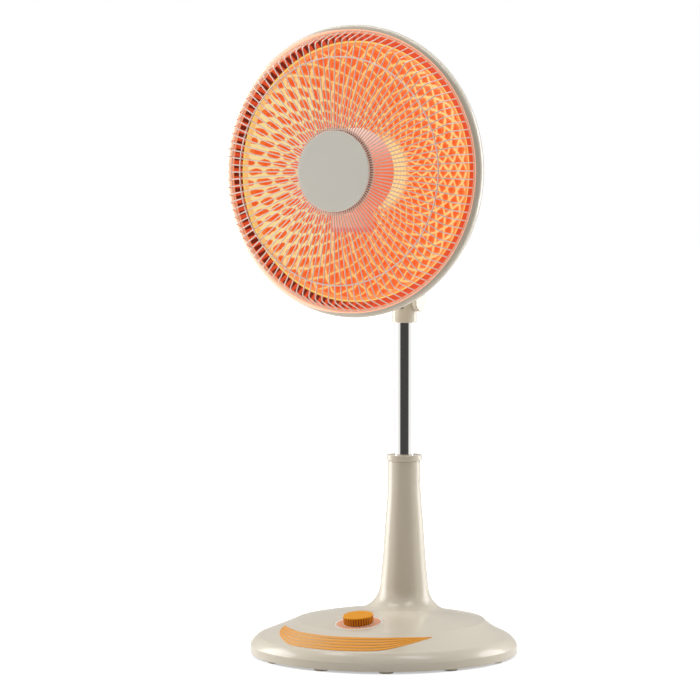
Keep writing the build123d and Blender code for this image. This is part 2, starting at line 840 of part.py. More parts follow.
def make_swivel_post():
    tongue_width = fork_slot - 2 * loose_gap
    shoulder = tilt_height + post_shoulder_gap
    straight_top = shoulder + post_straight
    stud_top = yoke_top + yoke_nut_height + yoke_stud_end
    with BuildPart() as swivel_post:
        with BuildSketch(across(-tongue_width / 2)):
            Circle(tongue_radius)
            with Locations((0, (post_shoulder_gap + soft_edge) / 2)):
                Rectangle(tongue_radius * 2, post_shoulder_gap + soft_edge)
        extrude(amount=tongue_width)
        with BuildSketch(upright(mast_y)):
            with BuildLine():
                Polyline((0, shoulder), (post_radius, shoulder), (post_radius, straight_top))
                Spline(
                    (post_radius, straight_top),
                    (post_flange_radius, post_flange_bottom),
                    tangents=[(0, 1), (post_flange_radius - post_radius, post_radius)],
                )
                Polyline(
                    (post_flange_radius, post_flange_bottom),
                    (post_flange_radius, post_flange_top),
                    (swivel_pin_radius, post_flange_top),
                    (swivel_pin_radius, yoke_bottom),
                    (yoke_stud_radius, yoke_bottom),
                    (yoke_stud_radius, stud_top),
                    (0, stud_top),
                    (0, shoulder),
                )
            make_face()
        revolve(axis=upright_axis(mast_y))
        with BuildSketch(across(-tongue_width / 2)):
            Circle(tilt_bolt_radius + running_gap)
        extrude(amount=tongue_width, mode=Mode.SUBTRACT)
        flange_edges = swivel_post.edges().filter_by(GeomType.CIRCLE).filter_by(
            lambda edge: abs(edge.radius - post_flange_radius) < running_gap
        ).sort_by(Axis.Z)[-1]
        fillet(flange_edges, soft_edge)
        shoulder_edges = swivel_post.edges().filter_by(GeomType.CIRCLE).filter_by(
            lambda edge: abs(edge.radius - post_radius) < running_gap
        ).sort_by(Axis.Z)[0]
        fillet(shoulder_edges, soft_edge)
    save(swivel_post, "swivel_post")


def make_swivel_washer():
    with BuildPart() as swivel_washer:
        with BuildSketch(level(swivel_boss_top + loose_gap, 0, mast_y)):
            Circle(swivel_boss_radius - swivel_bush_wall)
            Circle(swivel_pin_radius, mode=Mode.SUBTRACT)
        extrude(amount=swivel_washer_thickness)
    save(swivel_washer, "swivel_washer")


def make_yoke_plate():
    """Steel plate fixed on the post, with the slot that the crank pin runs in."""
    slot_start = sqrt(crank_offset**2 + crank_throw**2) - crank_pin_radius - crank_pin_play
    slot_end = crank_offset + crank_throw + crank_pin_radius + crank_pin_play
    slot_width = 2 * (crank_pin_radius + crank_pin_play)
    arm_width = slot_width + 2 * yoke_arm_wall
    arm_length = slot_end + yoke_arm_wall
    with BuildPart() as yoke_plate:
        with BuildSketch(level(yoke_bottom, 0, mast_y)):
            Circle(yoke_hub_radius)
            with Locations((0, -arm_length / 2)):
                RectangleRounded(arm_width, arm_length, yoke_corner)
            Circle(yoke_stud_radius, mode=Mode.SUBTRACT)
            with Locations((0, -(slot_start + slot_end) / 2)):
                SlotOverall(slot_end - slot_start, slot_width, rotation=90, mode=Mode.SUBTRACT)
        extrude(amount=yoke_thickness)
    save(yoke_plate, "yoke_plate")


def make_yoke_nut():
    with BuildPart() as yoke_nut:
        with BuildSketch(level(yoke_top, 0, mast_y)):
            RegularPolygon(yoke_nut_radius, 6)
            Circle(yoke_stud_radius, mode=Mode.SUBTRACT)
        extrude(amount=yoke_nut_height)
    save(yoke_nut, "yoke_nut")


def make_crank_disc():
    disc_top = crank_disc_bottom + crank_disc_thickness
    pin_bottom = yoke_bottom - crank_pin_end
    with BuildPart() as crank_disc:
        with BuildSketch(level(crank_disc_bottom, 0, motor_y)):
            Circle(crank_disc_radius)
        extrude(amount=crank_disc_thickness)
        with BuildSketch(level(disc_top, 0, motor_y)):
            Circle(motor_shaft_radius)
        extrude(amount=motor_bottom - disc_top + motor_shaft_reach)
        with BuildSketch(level(pin_bottom, 0, motor_y - crank_throw)):
            Circle(crank_pin_radius)
        extrude(amount=crank_disc_bottom - pin_bottom)
    save(crank_disc, "crank_disc")


def make_oscillation_motor():
    with BuildPart() as oscillation_motor:
        with BuildSketch(level(motor_bottom, 0, motor_y)):
            Circle(motor_radius)
            Circle(motor_shaft_radius + running_gap, mode=Mode.SUBTRACT)
        extrude(amount=motor_height)
        rims = oscillation_motor.edges().filter_by(GeomType.CIRCLE).filter_by(
            lambda edge: abs(edge.radius - motor_radius) < running_gap
        )
        fillet(rims, edge_break)
        with BuildSketch(level(motor_top - motor_ear_sheet, 0, motor_y)):
            SlotCenterToCenter(motor_screw_span, motor_ear_width)
            Circle(motor_shaft_radius + running_gap, mode=Mode.SUBTRACT)
            with GridLocations(motor_screw_span, 1, 2, 1):
                Circle(screw_radius, mode=Mode.SUBTRACT)
        extrude(amount=motor_ear_sheet)
    save(oscillation_motor, "oscillation_motor")


def make_motor_bracket():
    """Hat-shaped steel shelf that stands on the lower housing posts and carries the motor."""
    post_offset = housing_post_circle / sqrt(2)
    foot = head_height - post_offset + housing_post_radius
    leg_x = post_offset - housing_post_radius - motor_bracket_gap
    end_x = post_offset + motor_bracket_foot
    sheet = motor_bracket_sheet
    with BuildPart() as motor_bracket:
        with BuildSketch(upright(motor_y + motor_bracket_depth / 2)):
            with BuildLine():
                Polyline(
                    (-end_x, foot),
                    (-leg_x, foot),
                    (-leg_x, motor_top),
                    (leg_x, motor_top),
                    (leg_x, foot),
                    (end_x, foot),
                    (end_x, foot + sheet),
                    (leg_x + sheet, foot + sheet),
                    (leg_x + sheet, motor_top + sheet),
                    (-leg_x - sheet, motor_top + sheet),
                    (-leg_x - sheet, foot + sheet),
                    (-end_x, foot + sheet),
                    close=True,
                )
            make_face()
        extrude(amount=motor_bracket_depth)
        with BuildSketch(level(motor_top, 0, motor_y)):
            with GridLocations(motor_screw_span, 1, 2, 1):
                Circle(screw_radius)
        extrude(amount=sheet, mode=Mode.SUBTRACT)
    save(motor_bracket, "motor_bracket")


def make_motor_screws():
    ear_bottom = motor_top - motor_ear_sheet
    with BuildPart() as motor_screws:
        with BuildSketch(level(ear_bottom - screw_head_height, 0, motor_y)):
            with GridLocations(motor_screw_span, 1, 2, 1):
                Circle(screw_head_radius)
        extrude(amount=screw_head_height)
        with BuildSketch(level(ear_bottom, 0, motor_y)):
            with GridLocations(motor_screw_span, 1, 2, 1):
                Circle(screw_radius)
        extrude(amount=motor_ear_sheet + small_screw_length)
    save(motor_screws, "motor_screws")


# Rear housing behind the dish

def bowl_sphere():
    """Radius and centre of the ball that the back bowl is cut from."""
    outer = bowl_edge_radius
    rise = bowl_edge_front - bowl_hole_front
    centre = bowl_hole_front + (outer**2 - bowl_hole_radius**2 + rise**2) / (2 * rise)
    return sqrt(bowl_hole_radius**2 + (centre - bowl_hole_front) ** 2), centre


bowl_radius, bowl_centre = bowl_sphere()


def bowl_outside(radius):
    """Distance in front of the mast axis of the bowl's outer face."""
    return bowl_centre - sqrt(bowl_radius**2 - radius**2)


housing_front_face = bowl_outside(housing_radius - housing_wall)


def make_housing_body():
    bush_radius = swivel_pin_radius + running_gap + swivel_bush_wall
    with BuildPart() as housing_body:
        with BuildSketch(facing(housing_back)):
            Circle(housing_radius)
        extrude(amount=housing_front_face - housing_back)
        with BuildSketch(level(swivel_boss_bottom, 0, mast_y)):
            Circle(swivel_boss_radius)
        extrude(amount=swivel_boss_top - swivel_boss_bottom)
        with BuildSketch(facing(housing_back)):
            Circle(housing_radius - housing_wall)
        extrude(amount=housing_front_face - housing_back, mode=Mode.SUBTRACT)
        with BuildSketch(level(swivel_boss_bottom, 0, mast_y)):
            Circle(swivel_boss_radius)
        extrude(amount=swivel_boss_top - swivel_boss_bottom)
        with BuildSketch(facing(housing_back)):
            with PolarLocations(housing_post_circle, housing_post_count, start_angle=45):
                Circle(housing_post_radius)
        extrude(amount=bowl_outside(housing_post_circle - housing_post_radius) - housing_back)
        with BuildSketch(facing(housing_back)):
            with PolarLocations(housing_post_circle, housing_post_count, start_angle=45):
                Circle(screw_radius)
        extrude(amount=housing_front_face * 2, mode=Mode.SUBTRACT)
        with BuildSketch(level(swivel_boss_bottom, 0, mast_y)):
            Circle(bush_radius)
        extrude(amount=swivel_boss_top - swivel_boss_bottom, mode=Mode.SUBTRACT)
    save(housing_body, "housing_body")


def make_swivel_bush():
    bottom = post_flange_top + loose_gap
    with BuildPart() as swivel_bush:
        with BuildSketch(level(bottom, 0, mast_y)):
            Circle(swivel_boss_radius - swivel_bush_inset)
        extrude(amount=swivel_boss_bottom - bottom)
        with BuildSketch(level(swivel_boss_bottom, 0, mast_y)):
            Circle(swivel_pin_radius + running_gap + swivel_bush_wall)
        extrude(amount=swivel_boss_top - swivel_boss_bottom)
        with BuildSketch(level(bottom, 0, mast_y)):
            Circle(swivel_pin_radius + running_gap)
        extrude(amount=swivel_boss_top - bottom, mode=Mode.SUBTRACT)
    save(swivel_bush, "swivel_bush")


def housing_cover_form(inset):
    """The domed lid as a solid, with every face but its open side moved in by the inset."""
    radius = housing_radius - inset
    rim = housing_back - housing_cover_rim
    tip = housing_back - housing_cover_depth + inset
    turn_radius = radius - housing_cover_turn
    with BuildPart() as form:
        with BuildSketch(head_section):
            with BuildLine():
                Polyline((0, housing_back), (radius, housing_back), (radius, rim))
                Spline(
                    (radius, rim),
                    (turn_radius, tip + housing_cover_crown),
                    (0, tip),
                    tangents=[(0, -1), (-1, 0)],
                )
                Line((0, tip), (0, housing_back))
            make_face()
        revolve(axis=head_axis)
    return form.part


def make_housing_cover():
    """Domed lid at the very back, with cooling slots."""
    outside = housing_cover_form(0.0)
    inside = housing_cover_form(housing_wall)
    with BuildPart() as posts:
        with BuildSketch(facing(housing_back)):
            with PolarLocations(housing_post_circle, housing_post_count, start_angle=45):
                Circle(housing_post_radius)
        extrude(amount=-housing_cover_depth)
        add(outside, mode=Mode.INTERSECT)
    with BuildPart() as housing_cover:
        add(outside)
        add(inside, mode=Mode.SUBTRACT)
        add(posts.part)
        with BuildSketch(facing(housing_back - housing_screw_seat)):
            with PolarLocations(housing_post_circle, housing_post_count, start_angle=45):
                Circle(screw_head_radius + seat_gap)
        extrude(amount=-housing_cover_depth, mode=Mode.SUBTRACT)
        with BuildSketch(facing(housing_back)):
            with PolarLocations(housing_post_circle, housing_post_count, start_angle=45):
                Circle(screw_radius)
        extrude(amount=-housing_cover_depth, mode=Mode.SUBTRACT)
        with BuildSketch(facing(housing_back)):
            with GridLocations(1, cover_slot_pitch, 1, cover_slot_count):
                SlotOverall(cover_slot_length, cover_slot_width)
        extrude(amount=-housing_cover_depth * 2, mode=Mode.SUBTRACT)
    save(housing_cover, "housing_cover")


def make_housing_screws():
    with BuildPart() as housing_screws:
        with BuildSketch(facing(housing_back - housing_screw_seat)):
            with PolarLocations(housing_post_circle, housing_post_count, start_angle=45):
                Circle(screw_head_radius)
        extrude(amount=-screw_head_height)
        fillet(housing_screws.faces().sort_by(Axis.Y)[-1 : -1 - housing_post_count : -1].edges(), edge_break)
        with BuildSketch(facing(housing_back - housing_screw_seat)):
            with PolarLocations(housing_post_circle, housing_post_count, start_angle=45):
                Circle(screw_radius)
        extrude(amount=housing_screw_seat + screw_length)
    save(housing_screws, "housing_screws")


def make_back_bowl():
    """Pressed steel bowl behind the reflector, with radial cooling slots."""
    outer = bowl_edge_radius
    hole_angle = degrees(atan((bowl_centre - bowl_hole_front) / bowl_hole_radius))
    edge_angle = degrees(atan((bowl_centre - bowl_edge_front) / outer))
    with BuildPart() as back_bowl:
        with BuildSketch(head_section):
            with BuildLine():
                arc_out = CenterArc(
                    (0, bowl_centre), bowl_radius, -hole_angle, hole_angle - edge_angle
                )
                arc_in = CenterArc(
                    (0, bowl_centre), bowl_radius - bowl_wall, -hole_angle, hole_angle - edge_angle
                )
                Line(arc_out @ 0, arc_in @ 0)
                Polyline(
                    arc_out @ 1,
                    (outer, flange_front - dish_sheet),
                    (outer - bowl_wall, flange_front - dish_sheet),
                    arc_in @ 1,
                )
            make_face()
        revolve(axis=head_axis)
        with BuildSketch(facing(0)):
            with PolarLocations(vent_circle, vent_count, start_angle=180 / vent_count):
                SlotOverall(vent_length, vent_width)
        extrude(amount=head_radius, mode=Mode.SUBTRACT)
        with BuildSketch(facing(0)):
            with PolarLocations(housing_post_circle, housing_post_count, start_angle=45):
                Circle(screw_radius)
        extrude(amount=head_radius, mode=Mode.SUBTRACT)
    save(back_bowl, "back_bowl")


def make_bowl_screws():
    inside = bowl_outside(housing_post_circle + screw_head_radius) + bowl_wall + bowl_screw_seat
    with BuildPart() as bowl_screws:
        with BuildSketch(facing(inside)):
            with PolarLocations(housing_post_circle, housing_post_count, start_angle=45):
                Circle(screw_head_radius)
        extrude(amount=screw_head_height)
        with BuildSketch(facing(inside)):
            with PolarLocations(housing_post_circle, housing_post_count, start_angle=45):
                Circle(screw_radius)
        extrude(amount=-screw_length)
    save(bowl_screws, "bowl_screws")


# Rim ring and reflector

def make_rim_ring():
    seat = bowl_edge_radius
    with BuildPart() as rim_ring:
        with BuildSketch(head_section):
            with BuildLine():
                Polyline(
                    (seat, rim_back_front),
                    (seat, rim_seat_front),
                    (rim_lip_radius, rim_seat_front),
                    (rim_lip_radius, rim_lip_front - rim_lip_edge),
                    (rim_lip_radius + rim_lip_edge, rim_lip_front),
                )
                Spline(
                    (rim_lip_radius + rim_lip_edge, rim_lip_front),
                    (head_radius, rim_widest_front),
                    tangents=[(1, -0.12), (0, -1)],
                )
                Spline(
                    (head_radius, rim_widest_front),
                    (seat + rim_back_width, rim_back_front),
                    tangents=[(0, -1), (-0.45, -1)],
                )
                Line((seat + rim_back_width, rim_back_front), (seat, rim_back_front))
            make_face()
        revolve(axis=head_axis)
    save(rim_ring, "rim_ring")


def dish_surface(radius):
    """Distance in front of the mast axis of the reflector's front face."""
    return dish_front - dish_depth * (1 - (radius / dish_radius) ** 2)


def make_reflector():
    """Spun sheet: flat centre, parabolic dish, step wall and outer flange."""
    hole_radius = post_ceramic_radius + post_ceramic_gap
    mid_radius = (dish_radius + dish_flat_radius) / 2
    seat = bowl_edge_radius - loose_gap
    flat_front = dish_surface(dish_flat_radius)
    slope = 2 * dish_depth / dish_radius**2
    with BuildPart() as reflector:
        with BuildSketch(head_section):
            with BuildLine():
                Line((hole_radius, flat_front), (dish_flat_radius, flat_front))
                Spline(
                    (dish_flat_radius, flat_front),
                    (mid_radius, dish_surface(mid_radius)),
                    (dish_radius, dish_front),
                    tangents=[(1, slope * dish_flat_radius), (1, slope * dish_radius)],
                )
                Polyline(
                    (dish_radius, dish_front),
                    (step_radius, flange_front),
                    (seat, flange_front),
                    (seat, flange_front - dish_sheet),
                    (step_radius + dish_sheet, flange_front - dish_sheet),
                    (dish_radius + dish_sheet, dish_front - dish_sheet),
                )
                Spline(
                    (dish_radius + dish_sheet, dish_front - dish_sheet),
                    (mid_radius, dish_surface(mid_radius) - dish_sheet),
                    (dish_flat_radius, flat_front - dish_sheet),
                    tangents=[(-1, -slope * dish_radius), (-1, -slope * dish_flat_radius)],
                )
                Polyline(
                    (dish_flat_radius, flat_front - dish_sheet),
                    (hole_radius, flat_front - dish_sheet),
                    (hole_radius, flat_front),
                )
            make_face()
        revolve(axis=head_axis)
    save(reflector, "reflector")


# Front grille: radial wires welded to rings and to a plate at the hub

def wire_front(radius):
    """Centre line of a radial wire, as distance in front of the mast axis."""
    drop = (wire_inner_front - wire_bend_front) / (wire_bend_radius - wire_inner_radius)
    return wire_inner_front - drop * (radius - wire_inner_radius)


def make_front_grille():
    with BuildPart() as wire:
        with BuildLine(head_section) as path:
            FilletPolyline(
                (wire_inner_radius, wire_inner_front),
                (wire_bend_radius, wire_bend_front),
                (wire_end_radius, wire_end_front),
                radius=wire_bend_inside,
            )
        with BuildSketch(Plane(origin=path.line @ 0, z_dir=path.line % 0)):
            Circle(wire_radius)
        sweep(path=path.line)
    ring_offset = wire_radius + ring_wire_radius - weld_bite
    with BuildPart() as front_grille:
        with BuildSketch(facing(wire_front(hub_plate_radius) - hub_plate_thickness / 2)):
            Circle(hub_plate_radius)
            Circle(hub_plate_radius - hub_plate_width, mode=Mode.SUBTRACT)
        extrude(amount=hub_plate_thickness)
        with BuildSketch(head_section):
            with Locations((hub_ring_radius, wire_front(hub_ring_radius) - ring_offset)):
                Circle(ring_wire_radius)
            with Locations((middle_ring_radius, wire_front(middle_ring_radius) + ring_offset)):
                Circle(ring_wire_radius)
            with Locations((wire_end_radius, wire_end_front)):
                Circle(edge_ring_wire_radius)
        revolve(axis=head_axis)
        wires = [
            wire.part.rotate(head_axis, 360 / wire_count * number) for number in range(wire_count)
        ]
        add(wires)
    save(front_grille, "front_grille")


# Hub cap and the clamp plate that holds it on the grille

clamp_front = wire_front(hub_plate_radius) - hub_plate_thickness / 2
shroud_front = clamp_front - clamp_thickness - screw_head_height


def make_hub_cap():
    inside = hub_plate_radius + seat_gap
    skirt_back = wire_front(inside) + wire_radius + seat_gap
    floor = cap_front - cap_wall
    with BuildPart() as hub_cap:
        with BuildSketch(facing(skirt_back)):
            Circle(cap_radius)
        extrude(amount=cap_front - skirt_back)
        fillet(hub_cap.faces().sort_by(Axis.Y)[0].edges(), edge_break)
        with BuildSketch(facing(skirt_back)):
            Circle(inside)
        extrude(amount=floor - skirt_back, mode=Mode.SUBTRACT)
        with BuildSketch(facing(floor)):
            with PolarLocations(clamp_screw_circle, clamp_screw_count, start_angle=90):
                Circle(cap_post_radius)
        extrude(amount=clamp_front - floor)
        with BuildSketch(facing(floor)):
            with PolarLocations(clamp_screw_circle, clamp_screw_count, start_angle=90):
                Circle(screw_radius)
        extrude(amount=clamp_front - floor, mode=Mode.SUBTRACT)
    save(hub_cap, "hub_cap")


def make_hub_clamp():
    with BuildPart() as hub_clamp:
        with BuildSketch(facing(clamp_front)):
            Circle(hub_plate_radius)
            with PolarLocations(clamp_screw_circle, clamp_screw_count, start_angle=90):
                Circle(screw_radius, mode=Mode.SUBTRACT)
        extrude(amount=-clamp_thickness)
    save(hub_clamp, "hub_clamp")


def make_clamp_screws():
    with BuildPart() as clamp_screws:
        with BuildSketch(facing(clamp_front - clamp_thickness)):
            with PolarLocations(clamp_screw_circle, clamp_screw_count, start_angle=90):
                Circle(screw_head_radius)
        extrude(amount=-screw_head_height + seat_gap)
        with BuildSketch(facing(clamp_front - clamp_thickness)):
            with PolarLocations(clamp_screw_circle, clamp_screw_count, start_angle=90):
                Circle(screw_radius)
        extrude(amount=clamp_thickness + clamp_screw_reach)
    save(clamp_screws, "clamp_screws")


# Heating element: ceramic post, shroud, quartz tube and coil

def shroud_form(inset, back):
    """Drum with its lower tab as a solid, every face moved in by the inset."""
    with BuildPart() as form:
        with BuildSketch(head_section):
            with BuildLine():
                Polyline(
                    (0, back),
                    (shroud_back_radius - inset, back),
                    (shroud_back_radius - inset, shroud_back),
                    (shroud_front_radius - inset, shroud_front - inset),
                    (0, shroud_front - inset),
                    close=True,
                )
            make_face()
        revolve(axis=head_axis)
        with BuildSketch(facing(back)):
            with Locations((0, -tab_reach / 2)):
                Rectangle(tab_width - 2 * inset, tab_reach - 2 * inset)
        extrude(amount=tab_front - inset - back)
        if inset == 0:
            corners = form.edges().filter_by(Axis.Y).group_by(Axis.Z)[0]
            fillet(corners, corner_radius)
    return form.part


def make_element_shroud():
    outside = shroud_form(0.0, tab_back)
    inside = shroud_form(shroud_sheet, tab_back - shroud_sheet)
    with BuildPart() as element_shroud:
        add(outside)
        add(inside, mode=Mode.SUBTRACT)
    save(element_shroud, "element_shroud")


def shroud_inside(front):
    """Inner radius of the drum at this distance in front of the mast axis."""
    share = (front - shroud_back) / (shroud_front - shroud_back)
    return shroud_back_radius - shroud_sheet + share * (shroud_front_radius - shroud_back_radius)


def make_shroud_bracket():
    """Three flat arms that carry the shroud on the ceramic post."""
    foot_front = bracket_front - bracket_foot_length
    reach = shroud_inside(bracket_front + bracket_sheet) - seat_gap
    with BuildPart() as shroud_bracket:
        with BuildSketch(facing(bracket_front)):
            Circle(bracket_hub_radius)
            with PolarLocations(reach / 2, bracket_arm_count, start_angle=90):
                Rectangle(reach, bracket_arm_width)
            Circle(reach, mode=Mode.INTERSECT)
            Circle(post_ceramic_neck, mode=Mode.SUBTRACT)
        extrude(amount=bracket_sheet)
        with BuildSketch(facing(foot_front)):
            with PolarLocations(reach - bracket_sheet / 2, bracket_arm_count, start_angle=90):
                Rectangle(bracket_sheet, bracket_arm_width)
            Circle(reach, mode=Mode.INTERSECT)
        extrude(amount=bracket_foot_length)
    save(shroud_bracket, "shroud_bracket")


def make_element_post():
    """Ceramic post that carries the element through the middle of the reflector."""
    seat = dish_surface(dish_flat_radius) - dish_sheet
    neck_length = bracket_sheet + post_nut_thickness + post_end
    with BuildPart() as element_post:
        with BuildSketch(facing(seat - post_ceramic_flange)):
            Circle(post_ceramic_flange_radius)
        extrude(amount=post_ceramic_flange)
        with BuildSketch(facing(seat)):
            Circle(post_ceramic_radius)
        extrude(amount=bracket_front - seat)
        with BuildSketch(facing(bracket_front)):
            Circle(post_ceramic_neck)
        extrude(amount=neck_length)
        chamfer(element_post.faces().sort_by(Axis.Y)[0].outer_wire().edges(), edge_break)
        with BuildSketch(facing(seat - post_ceramic_flange)):
            Circle(post_ceramic_bore)
        extrude(amount=bracket_front + neck_length - seat + post_ceramic_flange, mode=Mode.SUBTRACT)
    save(element_post, "element_post")


def make_post_nuts():
    """Ring nut on the reflector and a smaller one on the bracket."""
    with BuildPart() as post_nuts:
        with BuildSketch(facing(dish_surface(dish_flat_radius))):
            Circle(post_nut_radius)
            Circle(post_ceramic_radius, mode=Mode.SUBTRACT)
        extrude(amount=post_nut_thickness)
        with BuildSketch(facing(bracket_front + bracket_sheet)):
            RegularPolygon(post_ceramic_neck + post_end_nut_width, 6)
            Circle(post_ceramic_neck, mode=Mode.SUBTRACT)
        extrude(amount=post_nut_thickness)
    save(post_nuts, "post_nuts")


def element_path():
    """Centre line of the quartz tube: a ring with two legs that turn down into the tab."""
    leg_centre_x = element_leg_x + element_leg_bend
    reach = element_ring_radius + element_leg_bend
    leg_centre_z = -sqrt(reach**2 - leg_centre_x**2)
    share = element_ring_radius / reach
    meet = (leg_centre_x * share, leg_centre_z * share)
    turn = atan(-leg_centre_z / leg_centre_x) / 2
    turn_x = leg_centre_x - element_leg_bend * cos(turn)
    turn_z = leg_centre_z + element_leg_bend * sin(turn)
    plane = facing(element_front)
    with BuildLine(plane) as path:
        Line((element_leg_x, -element_leg_end), (element_leg_x, leg_centre_z))
        ThreePointArc((element_leg_x, leg_centre_z), (turn_x, turn_z), meet)
        ThreePointArc(meet, (0, element_ring_radius), (-meet[0], meet[1]))
        ThreePointArc((-meet[0], meet[1]), (-turn_x, turn_z), (-element_leg_x, leg_centre_z))
        Line((-element_leg_x, leg_centre_z), (-element_leg_x, -element_leg_end))
    return path.line


def make_element_tube():
    path = element_path()
    with BuildPart() as quartz_tube:
        with BuildSketch(Plane(origin=path @ 0, z_dir=path % 0)):
            Circle(element_tube_radius)
            Circle(element_tube_radius - element_tube_wall, mode=Mode.SUBTRACT)
        sweep(path=path)
    save(quartz_tube, "quartz_tube")


def make_heating_coil():
    """Envelope of the fine resistance coil that lies inside the quartz tube."""
    path = element_path()
    with BuildPart() as heating_coil:
        with BuildSketch(Plane(origin=path @ 0, z_dir=path % 0)):
            Circle(element_coil_radius)
        sweep(path=path)
    save(heating_coil, "heating_coil")


def make_tube_end_caps():
    """Ceramic caps on the two ends of the quartz tube, inside the shroud's tab."""
    middle = tab_reach - shroud_sheet - loose_gap - end_cap_length / 2
    back = tab_back + end_cap_back_gap
    with BuildPart() as tube_end_caps:
        with BuildSketch(facing(back)):
            with Locations((-element_leg_x, -middle), (element_leg_x, -middle)):
                RectangleRounded(end_cap_width, end_cap_length, corner_radius)
        extrude(amount=tab_front - shroud_sheet - seat_gap - back)
        with BuildSketch(level(head_height - element_leg_end, 0, mast_y - element_front)):
            with GridLocations(2 * element_leg_x, 1, 2, 1):
                Circle(element_tube_radius)
        extrude(amount=end_cap_length, mode=Mode.SUBTRACT)
    save(tube_end_caps, "tube_end_caps")


def make_thermal_cutout():
    """Bimetal cut-out clipped behind the reflector."""
    front = dish_surface(cutout_circle - cutout_radius) - dish_sheet - cutout_gap
    back = front - cutout_height
    width, length, height = cutout_blade
    with BuildPart() as thermal_cutout:
        with BuildSketch(facing(back)):
            with Locations((0, cutout_circle)):
                Circle(cutout_radius)
        extrude(amount=cutout_height)
        with BuildSketch(facing(back - height)):
            with Locations((0, cutout_circle)):
                with GridLocations(cutout_blade_spacing, 1, 2, 1):
                    Rectangle(width, length)
        extrude(amount=height)
    save(thermal_cutout, "thermal_cutout")


def make_head_terminal():
    """Ceramic terminal block on the back of the element post."""
    length, width, height = head_terminal_size
    back = dish_surface(dish_flat_radius) - dish_sheet - post_ceramic_flange - height
    with BuildPart() as head_terminal:
        with BuildSketch(facing(back)):
            RectangleRounded(length, width, corner_radius)
        extrude(amount=height)
        with BuildSketch(facing(back)):
            with GridLocations(head_terminal_pitch, 1, 2, 1):
                Circle(terminal_hole_radius)
        extrude(amount=height / 2, mode=Mode.SUBTRACT)
    save(head_terminal, "head_terminal")


# Control knob, dial plate and rotary switch

def make_dial_plate():
    with BuildPart() as dial_plate:
        with BuildSketch(knob_plane(-recess_depth)):
            Circle(recess_radius - seat_gap)
            Circle(switch_bush_radius + seat_gap, mode=Mode.SUBTRACT)
        extrude(amount=dial_thickness)
        chamfer(dial_plate.faces().sort_by(Axis.Z)[-1].outer_wire().edges(), dial_edge)
    save(dial_plate, "dial_plate")


def make_rotary_switch():
    top = -recess_depth - recess_floor
    nut_seat = -recess_depth + dial_thickness
    blade_width, blade_length, blade_height = switch_blade
    with BuildPart() as rotary_switch:
        with BuildSketch(knob_plane(top)):
            RectangleRounded(switch_width, switch_width, corner_radius)
        extrude(amount=-switch_depth)
        with BuildSketch(knob_plane(top)):
            Circle(switch_bush_radius)
        extrude(amount=nut_seat + switch_nut_height - top)
        with BuildSketch(knob_plane(top - switch_depth)):
            with GridLocations(*switch_blade_pitch, 3, 2):
                Rectangle(blade_width, blade_length)
        extrude(amount=-blade_height)
        with BuildSketch(knob_plane(top - switch_depth + switch_floor)):
            Circle(switch_shaft_radius + running_gap)
        extrude(amount=switch_depth * 2, mode=Mode.SUBTRACT)
    save(rotary_switch, "rotary_switch")


def make_switch_nut():
    with BuildPart() as switch_nut:
        with BuildSketch(knob_plane(-recess_depth + dial_thickness)):
            RegularPolygon(switch_nut_radius, 6)
            Circle(switch_bush_radius, mode=Mode.SUBTRACT)
        extrude(amount=switch_nut_height)
    save(switch_nut, "switch_nut")


def make_switch_shaft():
    bottom = -recess_depth - recess_floor - switch_depth + switch_floor + loose_gap
    with BuildPart() as switch_shaft:
        with BuildSketch(knob_plane(bottom)):
            Circle(switch_shaft_radius)
        extrude(amount=knob_height - knob_wall - bottom)
    save(switch_shaft, "switch_shaft")


def make_control_knob():
    bottom = -recess_depth + dial_thickness + loose_gap
    boss_bottom = -recess_depth + dial_thickness + switch_nut_height + loose_gap
    with BuildPart() as control_knob:
        with BuildSketch(knob_plane(bottom)):
            Circle(knob_radius)
        extrude(amount=knob_height - bottom)
        fillet(control_knob.faces().sort_by(Axis.Z)[-1].edges(), knob_edge)
        with BuildSketch(knob_plane(bottom)):
            with PolarLocations(knob_radius + knob_flute_radius / 2, knob_flute_count):
                Circle(knob_flute_radius)
        extrude(amount=knob_height - knob_flute_stop - bottom, mode=Mode.SUBTRACT)
        with BuildSketch(knob_plane(bottom)):
            Circle(knob_radius - knob_wall)
        extrude(amount=knob_height - knob_wall - bottom, mode=Mode.SUBTRACT)
        with BuildSketch(knob_plane(boss_bottom)):
            Circle(switch_shaft_radius + knob_boss_wall)
            Circle(switch_shaft_radius, mode=Mode.SUBTRACT)
        extrude(amount=knob_height - knob_wall - boss_bottom)
    save(control_knob, "control_knob")


# Electrical pieces in the base

def make_terminal_block():
    length, width, height = terminal_size
    with BuildPart() as terminal_block:
        with BuildSketch(level(plate_top, *terminal_place)):
            RectangleRounded(length, width, corner_radius)
        extrude(amount=height)
        with BuildSketch(level(plate_top + height, *terminal_place)):
            with GridLocations(length / terminal_holes, 1, terminal_holes, 1):
                Circle(terminal_hole_radius)
        extrude(amount=-height / 2, mode=Mode.SUBTRACT)
    save(terminal_block, "terminal_block")


def make_tip_over_switch():
    length, width, height = tip_switch_size
    with BuildPart() as tip_over_switch:
        with BuildSketch(level(plate_top, plunger_x, plunger_y)):
            RectangleRounded(length, width, corner_radius)
        extrude(amount=height)
        with BuildSketch(level(plate_top, plunger_x, plunger_y)):
            Circle(plunger_radius + running_gap)
        extrude(amount=plunger_length - plate_top, mode=Mode.SUBTRACT)
    save(tip_over_switch, "tip_over_switch")


def make_tip_over_plunger():
    """Pin that the floor holds up while the heater stands."""
    with BuildPart() as tip_over_plunger:
        with BuildSketch(level(0, plunger_x, plunger_y)):
            Circle(plunger_radius)
        extrude(amount=plunger_length - loose_gap)
        fillet(tip_over_plunger.faces().sort_by(Axis.Z)[0].edges(), soft_edge)
    save(tip_over_plunger, "tip_over_plunger")


